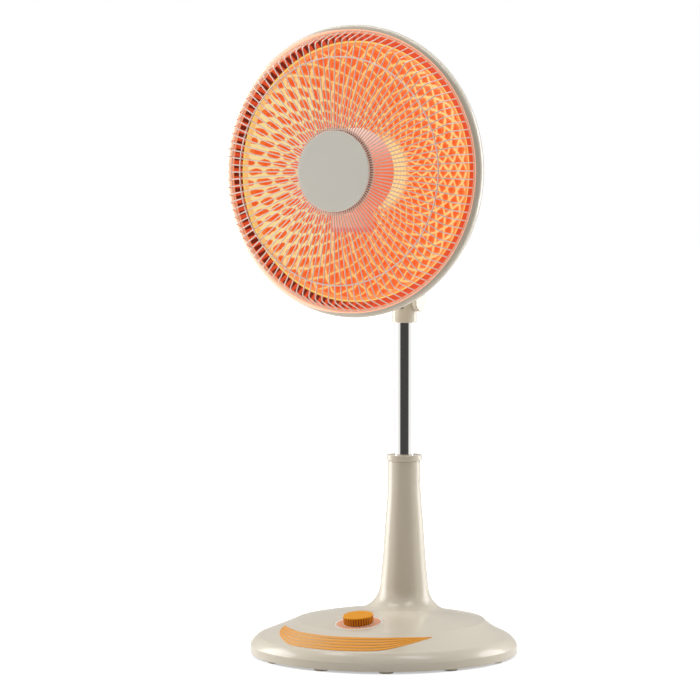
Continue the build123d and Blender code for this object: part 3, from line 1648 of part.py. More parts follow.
def make_cord_inlet():
    """Grommet in the back of the skirt, where a mains cord would enter."""
    inner_face = base_radius - inlet_flange_inset
    outward = Plane(origin=(0, inner_face, inlet_height), x_dir=(1, 0, 0), z_dir=(0, 1, 0))
    with BuildPart() as cord_inlet:
        with BuildSketch(outward):
            Circle(inlet_flange_radius)
        extrude(amount=inlet_flange)
        with BuildSketch(outward):
            Circle(inlet_radius)
        extrude(amount=inlet_flange_inset - inlet_end_inset)
        with BuildSketch(outward):
            Circle(inlet_bore_radius)
        extrude(amount=inlet_flange_inset, mode=Mode.SUBTRACT)
    save(cord_inlet, "cord_inlet")


# Every sub-part, from the floor up

make_base_cover()
make_base_plate()
make_ballast_ring()
make_base_feet()
make_cover_screws()
make_dial_plate()
make_rotary_switch()
make_switch_nut()
make_switch_shaft()
make_control_knob()
make_terminal_block()
make_tip_over_switch()
make_tip_over_plunger()
make_cord_inlet()
make_support_pole()
make_pole_screws()
make_tube_bush()
make_column_collar()
make_inner_tube()
make_tube_plug()
make_neck_socket()
make_neck_screw()
make_tilt_bolt()
make_tilt_washer()
make_tilt_knob()
make_swivel_post()
make_swivel_washer()
make_yoke_plate()
make_yoke_nut()
make_crank_disc()
make_oscillation_motor()
make_motor_bracket()
make_motor_screws()
make_housing_body()
make_swivel_bush()
make_housing_cover()
make_housing_screws()
make_back_bowl()
make_bowl_screws()
make_rim_ring()
make_reflector()
make_front_grille()
make_hub_cap()
make_hub_clamp()
make_clamp_screws()
make_element_shroud()
make_shroud_bracket()
make_element_post()
make_post_nuts()
make_element_tube()
make_heating_coil()
make_tube_end_caps()
make_thermal_cutout()
make_head_terminal()
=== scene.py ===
# %% [markdown]
# # A dish heater, dressed from its CAD frame
# The heater stands on a round weighted base. A chrome tube carries a round reflector, and an electric
# element glows at its middle behind a wire grille. The CAD model already has every piece at its real
# size, so this lesson adds the looks: finer meshes for the dish, the grille and the coil, the printed
# bands, and a procedural material for every surface. We load the frame first and measure it.

# %% Load the frame
import json
from math import atan2, cos, pi, radians, sin, sqrt

import bmesh
import bpy
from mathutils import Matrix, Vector
from mathutils.bvhtree import BVHTree


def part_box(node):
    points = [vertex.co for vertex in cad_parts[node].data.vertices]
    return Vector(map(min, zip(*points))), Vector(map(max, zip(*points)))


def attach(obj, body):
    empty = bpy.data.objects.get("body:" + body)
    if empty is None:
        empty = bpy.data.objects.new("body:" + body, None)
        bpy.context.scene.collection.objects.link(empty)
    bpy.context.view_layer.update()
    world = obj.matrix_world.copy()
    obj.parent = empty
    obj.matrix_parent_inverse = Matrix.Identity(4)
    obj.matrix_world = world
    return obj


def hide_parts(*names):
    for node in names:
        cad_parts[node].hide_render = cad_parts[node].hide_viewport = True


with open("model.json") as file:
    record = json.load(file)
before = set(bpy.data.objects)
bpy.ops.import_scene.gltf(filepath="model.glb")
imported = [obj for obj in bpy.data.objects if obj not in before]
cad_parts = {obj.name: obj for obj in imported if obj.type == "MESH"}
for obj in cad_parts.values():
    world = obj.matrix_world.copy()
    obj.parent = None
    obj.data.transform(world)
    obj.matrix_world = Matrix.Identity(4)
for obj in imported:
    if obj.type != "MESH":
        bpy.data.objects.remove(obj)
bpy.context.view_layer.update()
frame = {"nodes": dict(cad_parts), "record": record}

nodes = frame["nodes"]
collection = bpy.context.scene.collection

tube_low, tube_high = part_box("inner_tube")
rim_low, rim_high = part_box("rim_ring")
dish_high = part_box("reflector")[1]
base_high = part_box("base_cover")[1]
mast_y = (tube_low.y + tube_high.y) / 2
head_z = (rim_low.z + rim_high.z) / 2
flange_radius = dish_high.x
print("head axis at height", round(head_z, 4), "mast at y", round(mast_y, 4))
print("rim radius", round(rim_high.x, 4), "dish flange radius", round(flange_radius, 4),
      "base radius", round(base_high.x, 4))

# %% [markdown]
# ## The camera
# The photograph was taken with a long lens from a little below the height of the head, thirty degrees
# to the heater's left-hand side. A long lens flattens the base and the dish into slim ellipses. A
# camera could be turned by eye, but measured numbers let each render be laid beside the photograph.

# %% Camera
camera_azimuth = radians(29.6)
camera_distance = 4.100
camera_height = 0.640
camera_pitch = radians(3.02)
camera_aside = 0.0771         # the mast stands this far to the right of the optical axis
photo_width = 700
focal_pixels = 2895
sensor_width = 36.0

forward = Vector((-sin(camera_azimuth), cos(camera_azimuth), 0))
rightward = Vector((cos(camera_azimuth), sin(camera_azimuth), 0))


def place_camera():
    data = bpy.data.cameras.new("camera")
    data.sensor_width = sensor_width
    data.lens = focal_pixels / photo_width * sensor_width
    camera = bpy.data.objects.new("camera", data)
    stand = Vector((0, mast_y, camera_height))
    camera.location = stand - forward * camera_distance - rightward * camera_aside
    camera.rotation_euler = (pi / 2 - camera_pitch, 0, camera_azimuth)
    collection.objects.link(camera)
    bpy.context.scene.camera = camera
    return camera


camera = place_camera()
print("camera at", [round(value, 3) for value in camera.location])

# %% [markdown]
# ## Helpers for node trees
# Materials and Geometry Nodes could be wired by hand, one node at a time. Both kinds of tree share the
# same Math node, so one small set of helpers writes formulas in both. `link` accepts a number, a
# colour or another node's socket, and every other helper is built on it.

# %% Node helpers

def link(tree, socket, value):
    """Puts a number, a colour or another node's output into a socket."""
    if isinstance(value, bpy.types.NodeSocket):
        tree.links.new(value, socket)
    else:
        socket.default_value = value


def fill(tree, node, inputs):
    """Links or sets a node's inputs, by name or by number."""
    for label, value in inputs.items():
        link(tree, node.inputs[label], value)


def add_node(tree, kind, inputs=None, **settings):
    """Adds a node; settings are its own options."""
    node = tree.nodes.new(kind)
    for label, value in settings.items():
        setattr(node, label, value)
    fill(tree, node, inputs or {})
    return node


def maths(tree, operation, *values):
    return add_node(tree, "ShaderNodeMath", dict(enumerate(values)), operation=operation).outputs[0]


def product(tree, first, *others):
    for other in others:
        first = maths(tree, "MULTIPLY", first, other)
    return first


def sum_of_squares(tree, first, second):
    return maths(tree, "ADD", product(tree, first, first), product(tree, second, second))


def vector_maths(tree, operation, *values):
    return add_node(tree, "ShaderNodeVectorMath", dict(enumerate(values)), operation=operation).outputs


def step_between(tree, value, low, high):
    """A smooth 0 to 1 as value goes from low to high."""
    inputs = {"Value": value, "From Min": low, "From Max": high}
    return add_node(tree, "ShaderNodeMapRange", inputs, interpolation_type="SMOOTHSTEP").outputs["Result"]


print("node helpers ready")

# %% Colour, place and group helpers

def mix_number(tree, factor, first, second):
    gap = maths(tree, "SUBTRACT", second, first)
    return maths(tree, "MULTIPLY_ADD", gap, factor, first)


def mix_colour(tree, factor, first, second):
    inputs = {0: factor, 6: first, 7: second}
    return add_node(tree, "ShaderNodeMix", inputs, data_type="RGBA").outputs[2]


def seen(red, green, blue):
    """The linear colour of a shade written as it is seen on screen, 0 to 255."""
    shade = []
    for value in (red, green, blue):
        share = value / 255
        shade.append(share / 12.92 if share <= 0.04045 else ((share + 0.055) / 1.055) ** 2.4)
    return (*shade, 1.0)


def object_place(tree):
    """Object coordinates, which on every piece here are the heater's own metres."""
    return add_node(tree, "ShaderNodeTexCoord").outputs["Object"]


def split(tree, vector):
    """The X, Y and Z of a vector."""
    return add_node(tree, "ShaderNodeSeparateXYZ", {0: vector}).outputs


def new_group(name, inputs, outputs):
    """A shader group with named sockets; returns the tree and its two end nodes."""
    tree = bpy.data.node_groups.new(name, "ShaderNodeTree")
    for label, kind, value in inputs:
        socket = tree.interface.new_socket(label, in_out="INPUT", socket_type="NodeSocket" + kind)
        socket.default_value = value
    for label, kind in outputs:
        tree.interface.new_socket(label, in_out="OUTPUT", socket_type="NodeSocket" + kind)
    return tree, tree.nodes.new("NodeGroupInput"), tree.nodes.new("NodeGroupOutput")


def use_group(tree, group, **values):
    inputs = {label.replace("_", " "): value for label, value in values.items()}
    return add_node(tree, "ShaderNodeGroup", inputs, node_tree=group).outputs


print("colour, place and group helpers ready")

# %% [markdown]
# ## Shared effects
# Real plastic and metal are never one flat colour. Scanned textures could show that, but noise in the
# heater's own metres needs no picture and fits every piece. `surface grain` gives a slow mottle of the
# colour, a change of gloss and a fine bump. `round the head` turns a point into a radius and an angle
# about the axis of the dish, for everything that is round there.

# %% Surface grain group
mottle_scale = 22.0           # how finely the slow noise changes, per metre
mottle_detail = 5.0
grain_detail = 3.0
gloss_ripple = 0.3            # how far the fine grain changes the roughness
gloss_mottle = 0.5            # how far the roughness follows the mottle of the colour


def make_grain_group():
    tree, start, end = new_group(
        "surface grain",
        [("Colour", "Color", (1, 1, 1, 1)), ("Roughness", "Float", 0.3), ("Mottle", "Float", 0.05),
         ("Grain size", "Float", 0.0006), ("Stretch", "Vector", (1, 1, 1))],
        [("Colour", "Color"), ("Roughness", "Float"), ("Height", "Float")],
    )
    given = start.outputs
    place = vector_maths(tree, "MULTIPLY", object_place(tree), given["Stretch"])[0]
    grain_scale = maths(tree, "DIVIDE", 0.5, given["Grain size"])
    slow, fine = (
        add_node(tree, "ShaderNodeTexNoise", {"Vector": place, "Scale": scale, "Detail": detail}).outputs[0]
        for scale, detail in ((mottle_scale, mottle_detail), (grain_scale, grain_detail))
    )
    swing = maths(tree, "MULTIPLY_ADD", slow, 2.0, -1.0)
    shift = product(tree, swing, given["Mottle"])
    gain = maths(tree, "ADD", shift, 1.0)
    colour = add_node(tree, "ShaderNodeVectorMath", {0: given["Colour"], "Scale": gain}, operation="SCALE")
    ripple = maths(tree, "MULTIPLY_ADD", fine, gloss_ripple, 1 - gloss_ripple / 2)
    rough = product(tree, given["Roughness"], ripple)
    fill(tree, end, {
        "Colour": colour.outputs[0], "Height": fine,
        "Roughness": maths(tree, "SUBTRACT", rough, product(tree, shift, gloss_mottle)),
    })
    return tree


grain_group = make_grain_group()
print("group:", grain_group.name)

# %% Head coordinates group

def make_polar_group():
    tree, start, end = new_group(
        "round the head",
        [("Axis height", "Float", head_z)],
        [("Radius", "Float"), ("Angle", "Float"), ("Side", "Float"), ("Lift", "Float")],
    )
    place = split(tree, object_place(tree))
    side = place["X"]
    lift = maths(tree, "SUBTRACT", place["Z"], start.outputs["Axis height"])
    fill(tree, end, {
        "Radius": maths(tree, "SQRT", sum_of_squares(tree, side, lift)),
        "Angle": maths(tree, "ARCTAN2", lift, side), "Side": side, "Lift": lift,
    })
    return tree


polar_group = make_polar_group()
print("group:", polar_group.name)

# %% [markdown]
# ## One recipe for most finishes
# Moulded plastic, enamel, zinc and rubber differ in their numbers, not in their build. Each could have
# its own node tree, but one recipe keeps them alike: the grain group in front of a Principled BSDF.
# Values that are the same all over the surface stay on the shader's own sockets, so that they survive
# an export.

# %% Material recipe

def new_material(name):
    material = bpy.data.materials.new(name)
    material.use_nodes = True
    return material, material.node_tree, material.node_tree.nodes["Principled BSDF"]


def grained_material(name, colour, roughness, **values):
    """A material whose colour and gloss pass through the grain group."""
    material, tree, shader = new_material(name)
    skin = use_group(tree, grain_group, Colour=colour, Roughness=roughness, **values)
    fill(tree, shader, {"Base Color": skin["Colour"], "Roughness": skin["Roughness"]})
    return material, tree, shader, skin


def add_bump(tree, shader, height, depth):
    bump = add_node(tree, "ShaderNodeBump", {"Height": height, "Distance": depth})
    link(tree, shader.inputs["Normal"], bump.outputs["Normal"])


def plain_finish(name, colour, roughness, metallic=0.0, mottle=0.03, grain=0.0006, depth=0.00001,
                 coat=0.0, coat_roughness=0.05, stretch=(1, 1, 1), specular=0.5):
    material, tree, shader, skin = grained_material(
        name, colour, roughness, Mottle=mottle, Grain_size=grain, Stretch=stretch)
    fill(tree, shader, {"Metallic": metallic, "Coat Weight": coat, "Coat Roughness": coat_roughness,
                        "Specular IOR Level": specular})
    add_bump(tree, shader, skin["Height"], depth)
    return material


def painted(material):
    """A material's tree, its shader and the socket that now feeds Base Color, to paint more over it."""
    tree = material.node_tree
    shader = tree.nodes["Principled BSDF"]
    return tree, shader, shader.inputs["Base Color"].links[0].from_socket


print("material recipe ready")

# %% Plain finishes
ivory = (0.78, 0.70, 0.56, 1)
enamel = dict(colour=ivory, roughness=0.22, coat=0.5, grain=0.002, depth=0.00002)
finish_values = {
    "ivory_plastic": dict(colour=ivory, roughness=0.26, coat=0.3, mottle=0.02),
    "ivory_enamel": enamel,
    "dark_plastic": dict(colour=seen(40, 39, 38), roughness=0.45, grain=0.0004, depth=0.00003),
    "dark_rubber": dict(colour=seen(34, 33, 32), roughness=0.75, grain=0.0005, depth=0.00004),
    "grey_rubber": dict(colour=seen(206, 198, 176), roughness=0.60, grain=0.0005, depth=0.00004),
    "dark_steel": dict(colour=seen(52, 51, 50), roughness=0.50, grain=0.001, depth=0.00004),
    "cast_iron": dict(colour=seen(70, 68, 66), roughness=0.80, grain=0.0012, depth=0.0002, mottle=0.15),
    "zinc_steel": dict(colour=seen(196, 196, 192), roughness=0.30, metallic=1.0, mottle=0.08),
    "chrome_tube": dict(colour=seen(219, 217, 213), roughness=0.10, metallic=1.0, mottle=0.02,
                        stretch=(1, 1, 0.05), depth=0.000003),
    "grille_wire": dict(colour=seen(222, 213, 206), roughness=0.35, metallic=0.25, mottle=0.05),
    "hub_grey": dict(colour=seen(254, 249, 236), roughness=0.46, grain=0.0003, depth=0.00002, mottle=0.02),
    "ceramic": dict(colour=seen(228, 222, 210), roughness=0.62, grain=0.0008, depth=0.00005),
}
wire_glow = seen(255, 170, 130)      # the light of the dish that the wires catch all round
wire_glow_strength = 0.13

finishes = {name: plain_finish(name, **values) for name, values in finish_values.items()}
wire_tree, wire_shader = painted(finishes["grille_wire"])[:2]
fill(wire_tree, wire_shader, {"Emission Color": wire_glow, "Emission Strength": wire_glow_strength})
print(len(finishes), "plain finishes")

# %% [markdown]
# ## The control knob and its dial
# The knob stands square to the sloping dome, so its finish needs the knob's own axis. A painted UV map
# could carry the marks, but three dot products do without one: they turn a point into a height, an
# angle and a radius about that axis. The flutes get a painted shade: a darker orange on the knob's side
# and a dark brown in the grooves. The white dial carries a ring of orange marks round the knob.

# %% Round the knob
knob_place = Vector((0, -0.0720, 0.05234))
knob_axis = Vector((0, -0.14403, 0.98957))
flute_count = 36
ink_edge = 0.0008             # width of a soft edge


def round_the_knob(tree):
    """Height above the dome, radius and angle of a point about the knob's axis."""
    point = vector_maths(tree, "SUBTRACT", object_place(tree), knob_place)[0]
    sideways = Vector((1, 0, 0))
    height, across, along = (
        vector_maths(tree, "DOT_PRODUCT", point, direction)["Value"]
        for direction in (knob_axis, sideways, knob_axis.cross(sideways))
    )
    radius = maths(tree, "SQRT", sum_of_squares(tree, across, along))
    return height, radius, maths(tree, "ARCTAN2", along, across)


print("knob axis leans", round(knob_axis.y, 3), "forward")

# %% Knob finish
knob_orange = (0.90, 0.36, 0.008, 1)
# painted shade: the knob's side is darker than its top
knob_side_shade = (0.62, 0.12, 0.004, 1)
knob_side_shade_share = 0.45
# painted shade in the grooves between the flutes
groove_shade_brown = (0.26, 0.045, 0.002, 1)
groove_wave = (-0.1, 0.8)            # from the flank of a flute to its bottom
knob_side_radius = 0.0196
knob_shoulder = (0.0096, 0.0086)     # heights over which the top gives way to the side


def make_knob_finish():
    material = plain_finish("orange_plastic", knob_orange, roughness=0.50, mottle=0.05, specular=0.15)
    tree, shader, plain = painted(material)
    height, radius, angle = round_the_knob(tree)
    # painted shade: a darker side, and darker grooves between the flutes
    on_side = product(tree, step_between(tree, radius, knob_side_radius - ink_edge, knob_side_radius),
                      step_between(tree, height, *knob_shoulder))
    wave = maths(tree, "COSINE", product(tree, angle, flute_count))
    groove_shading = product(tree, on_side, step_between(tree, wave, *groove_wave))
    side = mix_colour(tree, product(tree, on_side, knob_side_shade_share), plain, knob_side_shade)
    link(tree, shader.inputs["Base Color"], mix_colour(tree, groove_shading, side, groove_shade_brown))
    return material


finishes["orange_plastic"] = make_knob_finish()
print("finish:", finishes["orange_plastic"].name)

# %% Dial finish
dial_white = seen(246, 240, 232)
# an orange ring round the knob, stronger in each of its marks
mark_orange = (0.90, 0.26, 0.01, 1)
mark_inner_radius = 0.0218
mark_outer_radius = 0.0312
mark_wave = (-0.5, 0.5)
mark_strength = 0.45                 # of the ring all round, and once more in each mark


def make_dial_finish():
    material = plain_finish("gloss_white", dial_white, roughness=0.40, coat=0.05, mottle=0.01,
                            specular=0.1)
    tree, shader, plain = painted(material)
    height, radius, angle = round_the_knob(tree)
    ring = product(tree, step_between(tree, radius, mark_inner_radius, mark_inner_radius + ink_edge),
                   step_between(tree, radius, mark_outer_radius, mark_outer_radius - ink_edge))
    wave = step_between(tree, maths(tree, "SINE", product(tree, angle, flute_count)), *mark_wave)
    marks = product(tree, ring, maths(tree, "MULTIPLY_ADD", wave, mark_strength, mark_strength))
    link(tree, shader.inputs["Base Color"], mix_colour(tree, marks, plain, mark_orange))
    return material


finishes["gloss_white"] = make_dial_finish()
print("finish:", finishes["gloss_white"].name)

# %% [markdown]
# ## The ink of the bands, its painted highlight and the lit rim
# The bands on the base are printed in orange ink, and a painted highlight turns the middle of the bands
# peach. The ivory rim catches the light of the dish on the front of its lip. Lamps inside the head could
# light it, but a salmon glow on the lip is steady, renders fast and survives the export.

# %% Ink and rim finishes
ink_orange = (0.92, 0.38, 0.035, 1)
# painted highlight: peach across the middle of the orange bands
ink_highlight_peach = (0.94, 0.50, 0.16, 1)
highlight_share = 0.7
highlight_from = (-0.110, -0.060)        # across the base, from the left tip towards the middle
highlight_to = (0.030, -0.040)           # and from the right
leftwards = (0.000, -0.090)          # from the middle of the head to its left-hand half
lip_glow_left = 0.1978               # the glow reaches this far out on the left of the rim's lip
lip_glow_right = 0.1932              # and this far on the right, where the lip turns away
lip_blur = 0.0008
lip_back_y = mast_y - 0.1540
lip_back_blur = 0.0006
lip_salmon = seen(255, 150, 108)
lip_strength = 0.75


def make_ink_finish():
    material = plain_finish("orange_print", ink_orange, roughness=0.40, mottle=0.06, specular=0.2)
    tree, shader, plain = painted(material)
    across = split(tree, object_place(tree))["X"]
    # painted highlight across the middle of the bands
    middle = product(tree, step_between(tree, across, *highlight_from), step_between(tree, across, *highlight_to))
    highlighted = mix_colour(tree, product(tree, middle, highlight_share), plain, ink_highlight_peach)
    link(tree, shader.inputs["Base Color"], highlighted)
    return material


def make_rim_finish():
    material = plain_finish("rim_enamel", **enamel)
    tree, shader = painted(material)[:2]
    polar = use_group(tree, polar_group)
    depth = split(tree, object_place(tree))["Y"]
    in_front = step_between(tree, depth, lip_back_y, lip_back_y - lip_back_blur)
    left = step_between(tree, polar["Side"], *leftwards)
    edge = mix_number(tree, left, lip_glow_right, lip_glow_left)
    on_lip = step_between(tree, polar["Radius"], maths(tree, "ADD", edge, lip_blur), edge)
    glow = mix_colour(tree, product(tree, on_lip, in_front), (0, 0, 0, 1), lip_salmon)
    fill(tree, shader, {"Emission Color": glow, "Emission Strength": lip_strength})
    return material


finishes["rim_enamel"] = make_rim_finish()
finishes["orange_print"] = make_ink_finish()
print("finishes:", finishes["rim_enamel"].name, "and", finishes["orange_print"].name)

# %% [markdown]
# ## The reflector's pattern
# The dish is copper-coloured sheet with rows of pressed diamonds, thirty-six to a row, each row
# shifted by half a step. They could be drawn one by one, but a lattice formula finds them all. The
# angle and the radius are added and subtracted, and what is left over after whole numbers says how far
# a point is from the middle of its diamond. The same formula presses the sheet further down.

# %% Diamond lattice
diamond_count = 36
diamond_pitch = 0.0205        # radial length of a diamond, which is two rows
diamond_start = 0.0300
dish_radius = 0.1780
step_radius = 0.1886


def lattice(tree, radius, angle):
    """Offsets from the middle of the diamond, along the radius and round the axis, each within a half."""
    turns = product(tree, angle, diamond_count / (2 * pi))
    rows = maths(tree, "MULTIPLY_ADD", radius, 1 / diamond_pitch, -diamond_start / diamond_pitch)
    rising, falling = (
        maths(tree, "SUBTRACT", maths(tree, "FRACT", maths(tree, operation, rows, turns)), 0.5)
        for operation in ("ADD", "SUBTRACT")
    )
    along = product(tree, maths(tree, "ADD", rising, falling), 0.5)
    around = product(tree, maths(tree, "SUBTRACT", rising, falling), 0.5)
    return along, around


def diamond_rise(tree, along, around):
    """0 on a ridge, 1 in the middle of a diamond."""
    far = maths(tree, "ADD", maths(tree, "ABSOLUTE", along), maths(tree, "ABSOLUTE", around))
    return maths(tree, "MULTIPLY_ADD", far, -2.0, 1.0)


print(diamond_count, "diamonds in a row")

# %% [markdown]
# ## The reflector's glow
# In use the dish mirrors the hot element: pale yellow along the ridges between the diamonds and
# orange-red inside them. Ray-traced reflections of the coil would be noisy and slow, so the sheet
# glows by itself. Where it looks back at the element, on the left and near the middle, the ridges are
# broad and the diamonds are slender ovals. A slow noise pushes the glow off the pressed pattern a
# little, as real reflections are.

# %% Where the glow falls
glow_waver = 0.0075                  # how far the reflections wander off the pressed pattern
glow_noise_scale = 70.0
level_with_hub = (0.160, 0.090)      # height above or below the axis
inner_dish = (0.120, 0.060)          # radius
left_of_drum = (0.050, 0.010)
towards_sides = (0.040, 0.120)       # distance to either side
oval_length = 0.45                   # of a diamond, from its middle
oval_width = 0.028                   # times one over the radius, so ovals keep their real width
widest_oval = 0.30
oval_edge = (1.15, 0.70)
ridge_edge = (0.03, 0.26)            # from the line of a ridge to where its diamond is full
ridge_edge_at_sides = (0.09, 0.38)   # ridges are softer there


def wavering_lattice(tree, radius, angle, noise):
    shifts = split(tree, noise.outputs["Color"])
    outwards, sideways = (
        maths(tree, "MULTIPLY_ADD", shifts[axis], glow_waver, -glow_waver / 2) for axis in ("X", "Y")
    )
    return lattice(tree, maths(tree, "ADD", radius, outwards),
                   maths(tree, "ADD", angle, maths(tree, "DIVIDE", sideways, radius)))


def facing_element(tree, radius, side, lift):
    """1 where the dish looks back at the element."""
    left = product(tree, step_between(tree, side, *leftwards),
                   step_between(tree, maths(tree, "ABSOLUTE", lift), *level_with_hub))
    near = product(tree, step_between(tree, radius, *inner_dish), step_between(tree, side, *left_of_drum))
    return maths(tree, "MAXIMUM", left, near)


def slender_ovals(tree, along, around, radius):
    """1 inside a radially long oval in the middle of each diamond, 0 outside."""
    half_width = maths(tree, "MINIMUM", maths(tree, "DIVIDE", oval_width, radius), widest_oval)
    squares = sum_of_squares(tree, maths(tree, "DIVIDE", along, oval_length),
                             maths(tree, "DIVIDE", around, half_width))
    return step_between(tree, squares, *oval_edge)


def full_diamonds(tree, rise, sides):
    """1 inside each diamond, 0 on the ridges, which soften towards both sides."""
    edges = (mix_number(tree, sides, *pair) for pair in zip(ridge_edge, ridge_edge_at_sides))
    return step_between(tree, rise, *edges)


print("glow masks ready")

# %% Colours of the glow
ember_light, ember_deep, ember_heart = seen(255, 138, 66), seen(250, 92, 34), seen(246, 82, 32)
heart_rise = (0.35, 1.0)
heart_share = 0.75
heart_shift = 1.2                    # the heart of an ember sits towards the middle of the dish
ridge_middle, ridge_side = seen(255, 204, 124), seen(255, 214, 138)
ridge_facing, ridge_hub = seen(255, 228, 160), seen(255, 222, 140)
near_hub = (0.105, 0.050)            # radius
near_hub_share = 0.9
behind_drum_radius = (0.062, 0.046)
behind_drum_side = (0.000, 0.030)
lost_behind_drum = 0.7               # share of the pattern
glare_pitch = 0.0055                 # the drum is mirrored behind itself in fine rings
glare_strength = 0.5
glare_ripple = 0.35
glare_yellow = seen(255, 238, 176)
edge_orange, edge_pale, line_yellow = seen(255, 148, 84), seen(255, 196, 120), seen(255, 214, 112)
wall_red, wall_shadow, flange_salmon = seen(226, 78, 40), seen(116, 34, 16), seen(255, 160, 116)
wire_count = 106
shadow_wave = (-0.5, 0.4)
shadow_side = (0.070, -0.060)


def ember_colour(tree, noise, rise, along):
    ember = mix_colour(tree, noise.outputs["Fac"], ember_light, ember_deep)
    heart = maths(tree, "SUBTRACT", rise, product(tree, along, heart_shift))
    heart = product(tree, step_between(tree, heart, *heart_rise), heart_share)
    return mix_colour(tree, heart, ember, ember_heart)


def ridge_colour(tree, radius, sides, facing):
    ridge = mix_colour(tree, sides, ridge_middle, ridge_side)
    ridge = mix_colour(tree, facing, ridge, ridge_facing)
    hub_share = product(tree, step_between(tree, radius, *near_hub), near_hub_share)
    return mix_colour(tree, hub_share, ridge, ridge_hub)


def wall_colour(tree, angle, side):
    """The upright step round the dish is deep red, with the wires' shadows on the left."""
    spokes = maths(tree, "SINE", product(tree, angle, wire_count))
    shaded = product(tree, step_between(tree, spokes, *shadow_wave), step_between(tree, side, *shadow_side))
    return mix_colour(tree, shaded, wall_red, wall_shadow)


print("glow colours ready")

# %% Reflector finish
reflector_values = {"Emission Strength": 0.80, "Metallic": 0.6, "Roughness": 0.42}
cold_share = 0.72                    # how much darker the sheet is than its own glow
rolled_edge = (dish_radius - 0.0068, dish_radius - 0.0052)
bright_line = (dish_radius - 0.0020, dish_radius - 0.0012)
step_wall = (dish_radius - 0.0002, dish_radius + 0.0010)
flat_flange = (step_radius - 0.0012, step_radius + 0.0004)


def make_reflector_finish():
    material, tree, shader = new_material("copper_reflector")
    polar = use_group(tree, polar_group)
    radius, angle, side, lift = (polar[name] for name in ("Radius", "Angle", "Side", "Lift"))
    noise = add_node(tree, "ShaderNodeTexNoise", {"Scale": glow_noise_scale, "Vector": object_place(tree)})
    along, around = wavering_lattice(tree, radius, angle, noise)
    rise = diamond_rise(tree, along, around)
    facing = facing_element(tree, radius, side, lift)
    sides = step_between(tree, maths(tree, "ABSOLUTE", side), *towards_sides)
    diamond = mix_colour(tree, facing, full_diamonds(tree, rise, sides),
                         slender_ovals(tree, along, around, radius))

    behind_drum = product(tree, step_between(tree, radius, *behind_drum_radius),
                          step_between(tree, side, *behind_drum_side))
    diamond = product(tree, diamond, maths(tree, "MULTIPLY_ADD", behind_drum, -lost_behind_drum, 1.0))
    surface = mix_colour(tree, diamond, ridge_colour(tree, radius, sides, facing),
                         ember_colour(tree, noise, rise, along))
    rings = maths(tree, "SINE", product(tree, radius, 2 * pi / glare_pitch))
    glare = product(tree, behind_drum, maths(tree, "MULTIPLY_ADD", rings, glare_ripple, glare_strength))
    surface = mix_colour(tree, glare, surface, glare_yellow)

    # Outwards from the dish's edge, each colour covers the one before it from its own radius on.
    for band, colour in (
        (rolled_edge, mix_colour(tree, facing, edge_orange, edge_pale)), (bright_line, line_yellow),
        (step_wall, wall_colour(tree, angle, side)), (flat_flange, flange_salmon),
    ):
        surface = mix_colour(tree, step_between(tree, radius, *band), surface, colour)
    cold = mix_colour(tree, cold_share, surface, (0, 0, 0, 1))
    fill(tree, shader, {"Emission Color": surface, "Base Color": cold, **reflector_values})
    return material


finishes["copper_reflector"] = make_reflector_finish()
print("finish:", finishes["copper_reflector"].name)

# %% [markdown]
# ## The shroud, the quartz tube and the hot wire
# The element sits inside a drum of pale enamelled sheet. Its front faces the room and stays pale,
# while its side is lit by the glowing dish around it, which turns it salmon and red towards the back.
# A lamp inside would light it too, but masks on the head's own coordinates put each tint in its place, and
# a painted shadow darkens the front of the drum just behind the hub cap.

# %% Drum finish
drum_lower_half = (0.062, -0.010)    # height above the axis
drum_turned = (-0.020, 0.055)        # across: the side that is turned to the dish
drum_under = (-0.0745, -0.0785)
# painted shadow on the front of the drum, inside this radius just behind the hub cap
drum_behind_cap = (0.0570, 0.0558)   # radius
drum_paint = seen(150, 128, 120)
drum_pale, drum_salmon = seen(244, 226, 220), seen(242, 160, 128)
drum_red, drum_under_red, drum_cap_shadow = seen(250, 92, 52), seen(236, 62, 34), seen(70, 34, 22)
drum_strength = 0.70


def make_drum_finish():
    material, tree, shader, skin = grained_material("shroud_enamel", drum_paint, roughness=0.35, Mottle=0.03)
    polar = use_group(tree, polar_group)
    low = step_between(tree, polar["Lift"], *drum_lower_half)
    turned = step_between(tree, polar["Side"], *drum_turned)
    glow = mix_colour(tree, low, drum_pale, drum_salmon)
    for mask, colour in (
        (product(tree, turned, low), drum_red),
        (step_between(tree, polar["Lift"], *drum_under), drum_under_red),
        # painted shadow just behind the hub cap
        (step_between(tree, polar["Radius"], *drum_behind_cap), drum_cap_shadow),
    ):
        glow = mix_colour(tree, mask, glow, colour)
    fill(tree, shader, {"Emission Color": glow, "Emission Strength": drum_strength})
    add_bump(tree, shader, skin["Height"], depth=0.00002)
    return material


finishes["shroud_enamel"] = make_drum_finish()
print("finish:", finishes["shroud_enamel"].name)

# %% Hot wire and quartz
hot_orange = seen(255, 120, 40)
hot_strength = 6.0
quartz_tint = seen(255, 236, 214)


def make_hot_finish():
    material, tree, shader, skin = grained_material("hot_wire", hot_orange, roughness=0.5, Mottle=0.1)
    fill(tree, shader, {"Emission Color": skin["Colour"], "Emission Strength": hot_strength})
    return material


def make_quartz_finish():
    material, tree, shader, skin = grained_material("quartz", quartz_tint, roughness=0.25, Mottle=0.02)
    fill(tree, shader, {"Transmission Weight": 0.9, "IOR": 1.46})
    return material


finishes["hot_wire"] = make_hot_finish()
finishes["quartz"] = make_quartz_finish()
print(len(finishes), "finishes in all")

# %% [markdown]
# ## Dress the CAD nodes
# The record names a material slot for every node. The pieces could be modelled again, but each CAD
# node keeps its mesh and only gets the finish of its slot, so nothing that was fitted in the model can
# move. The rim alone gets its own lit enamel.

# %% Assign finishes by slot
slot_of = {entry["node"]: entry["material_slot"] for entry in frame["record"]["subparts"]}


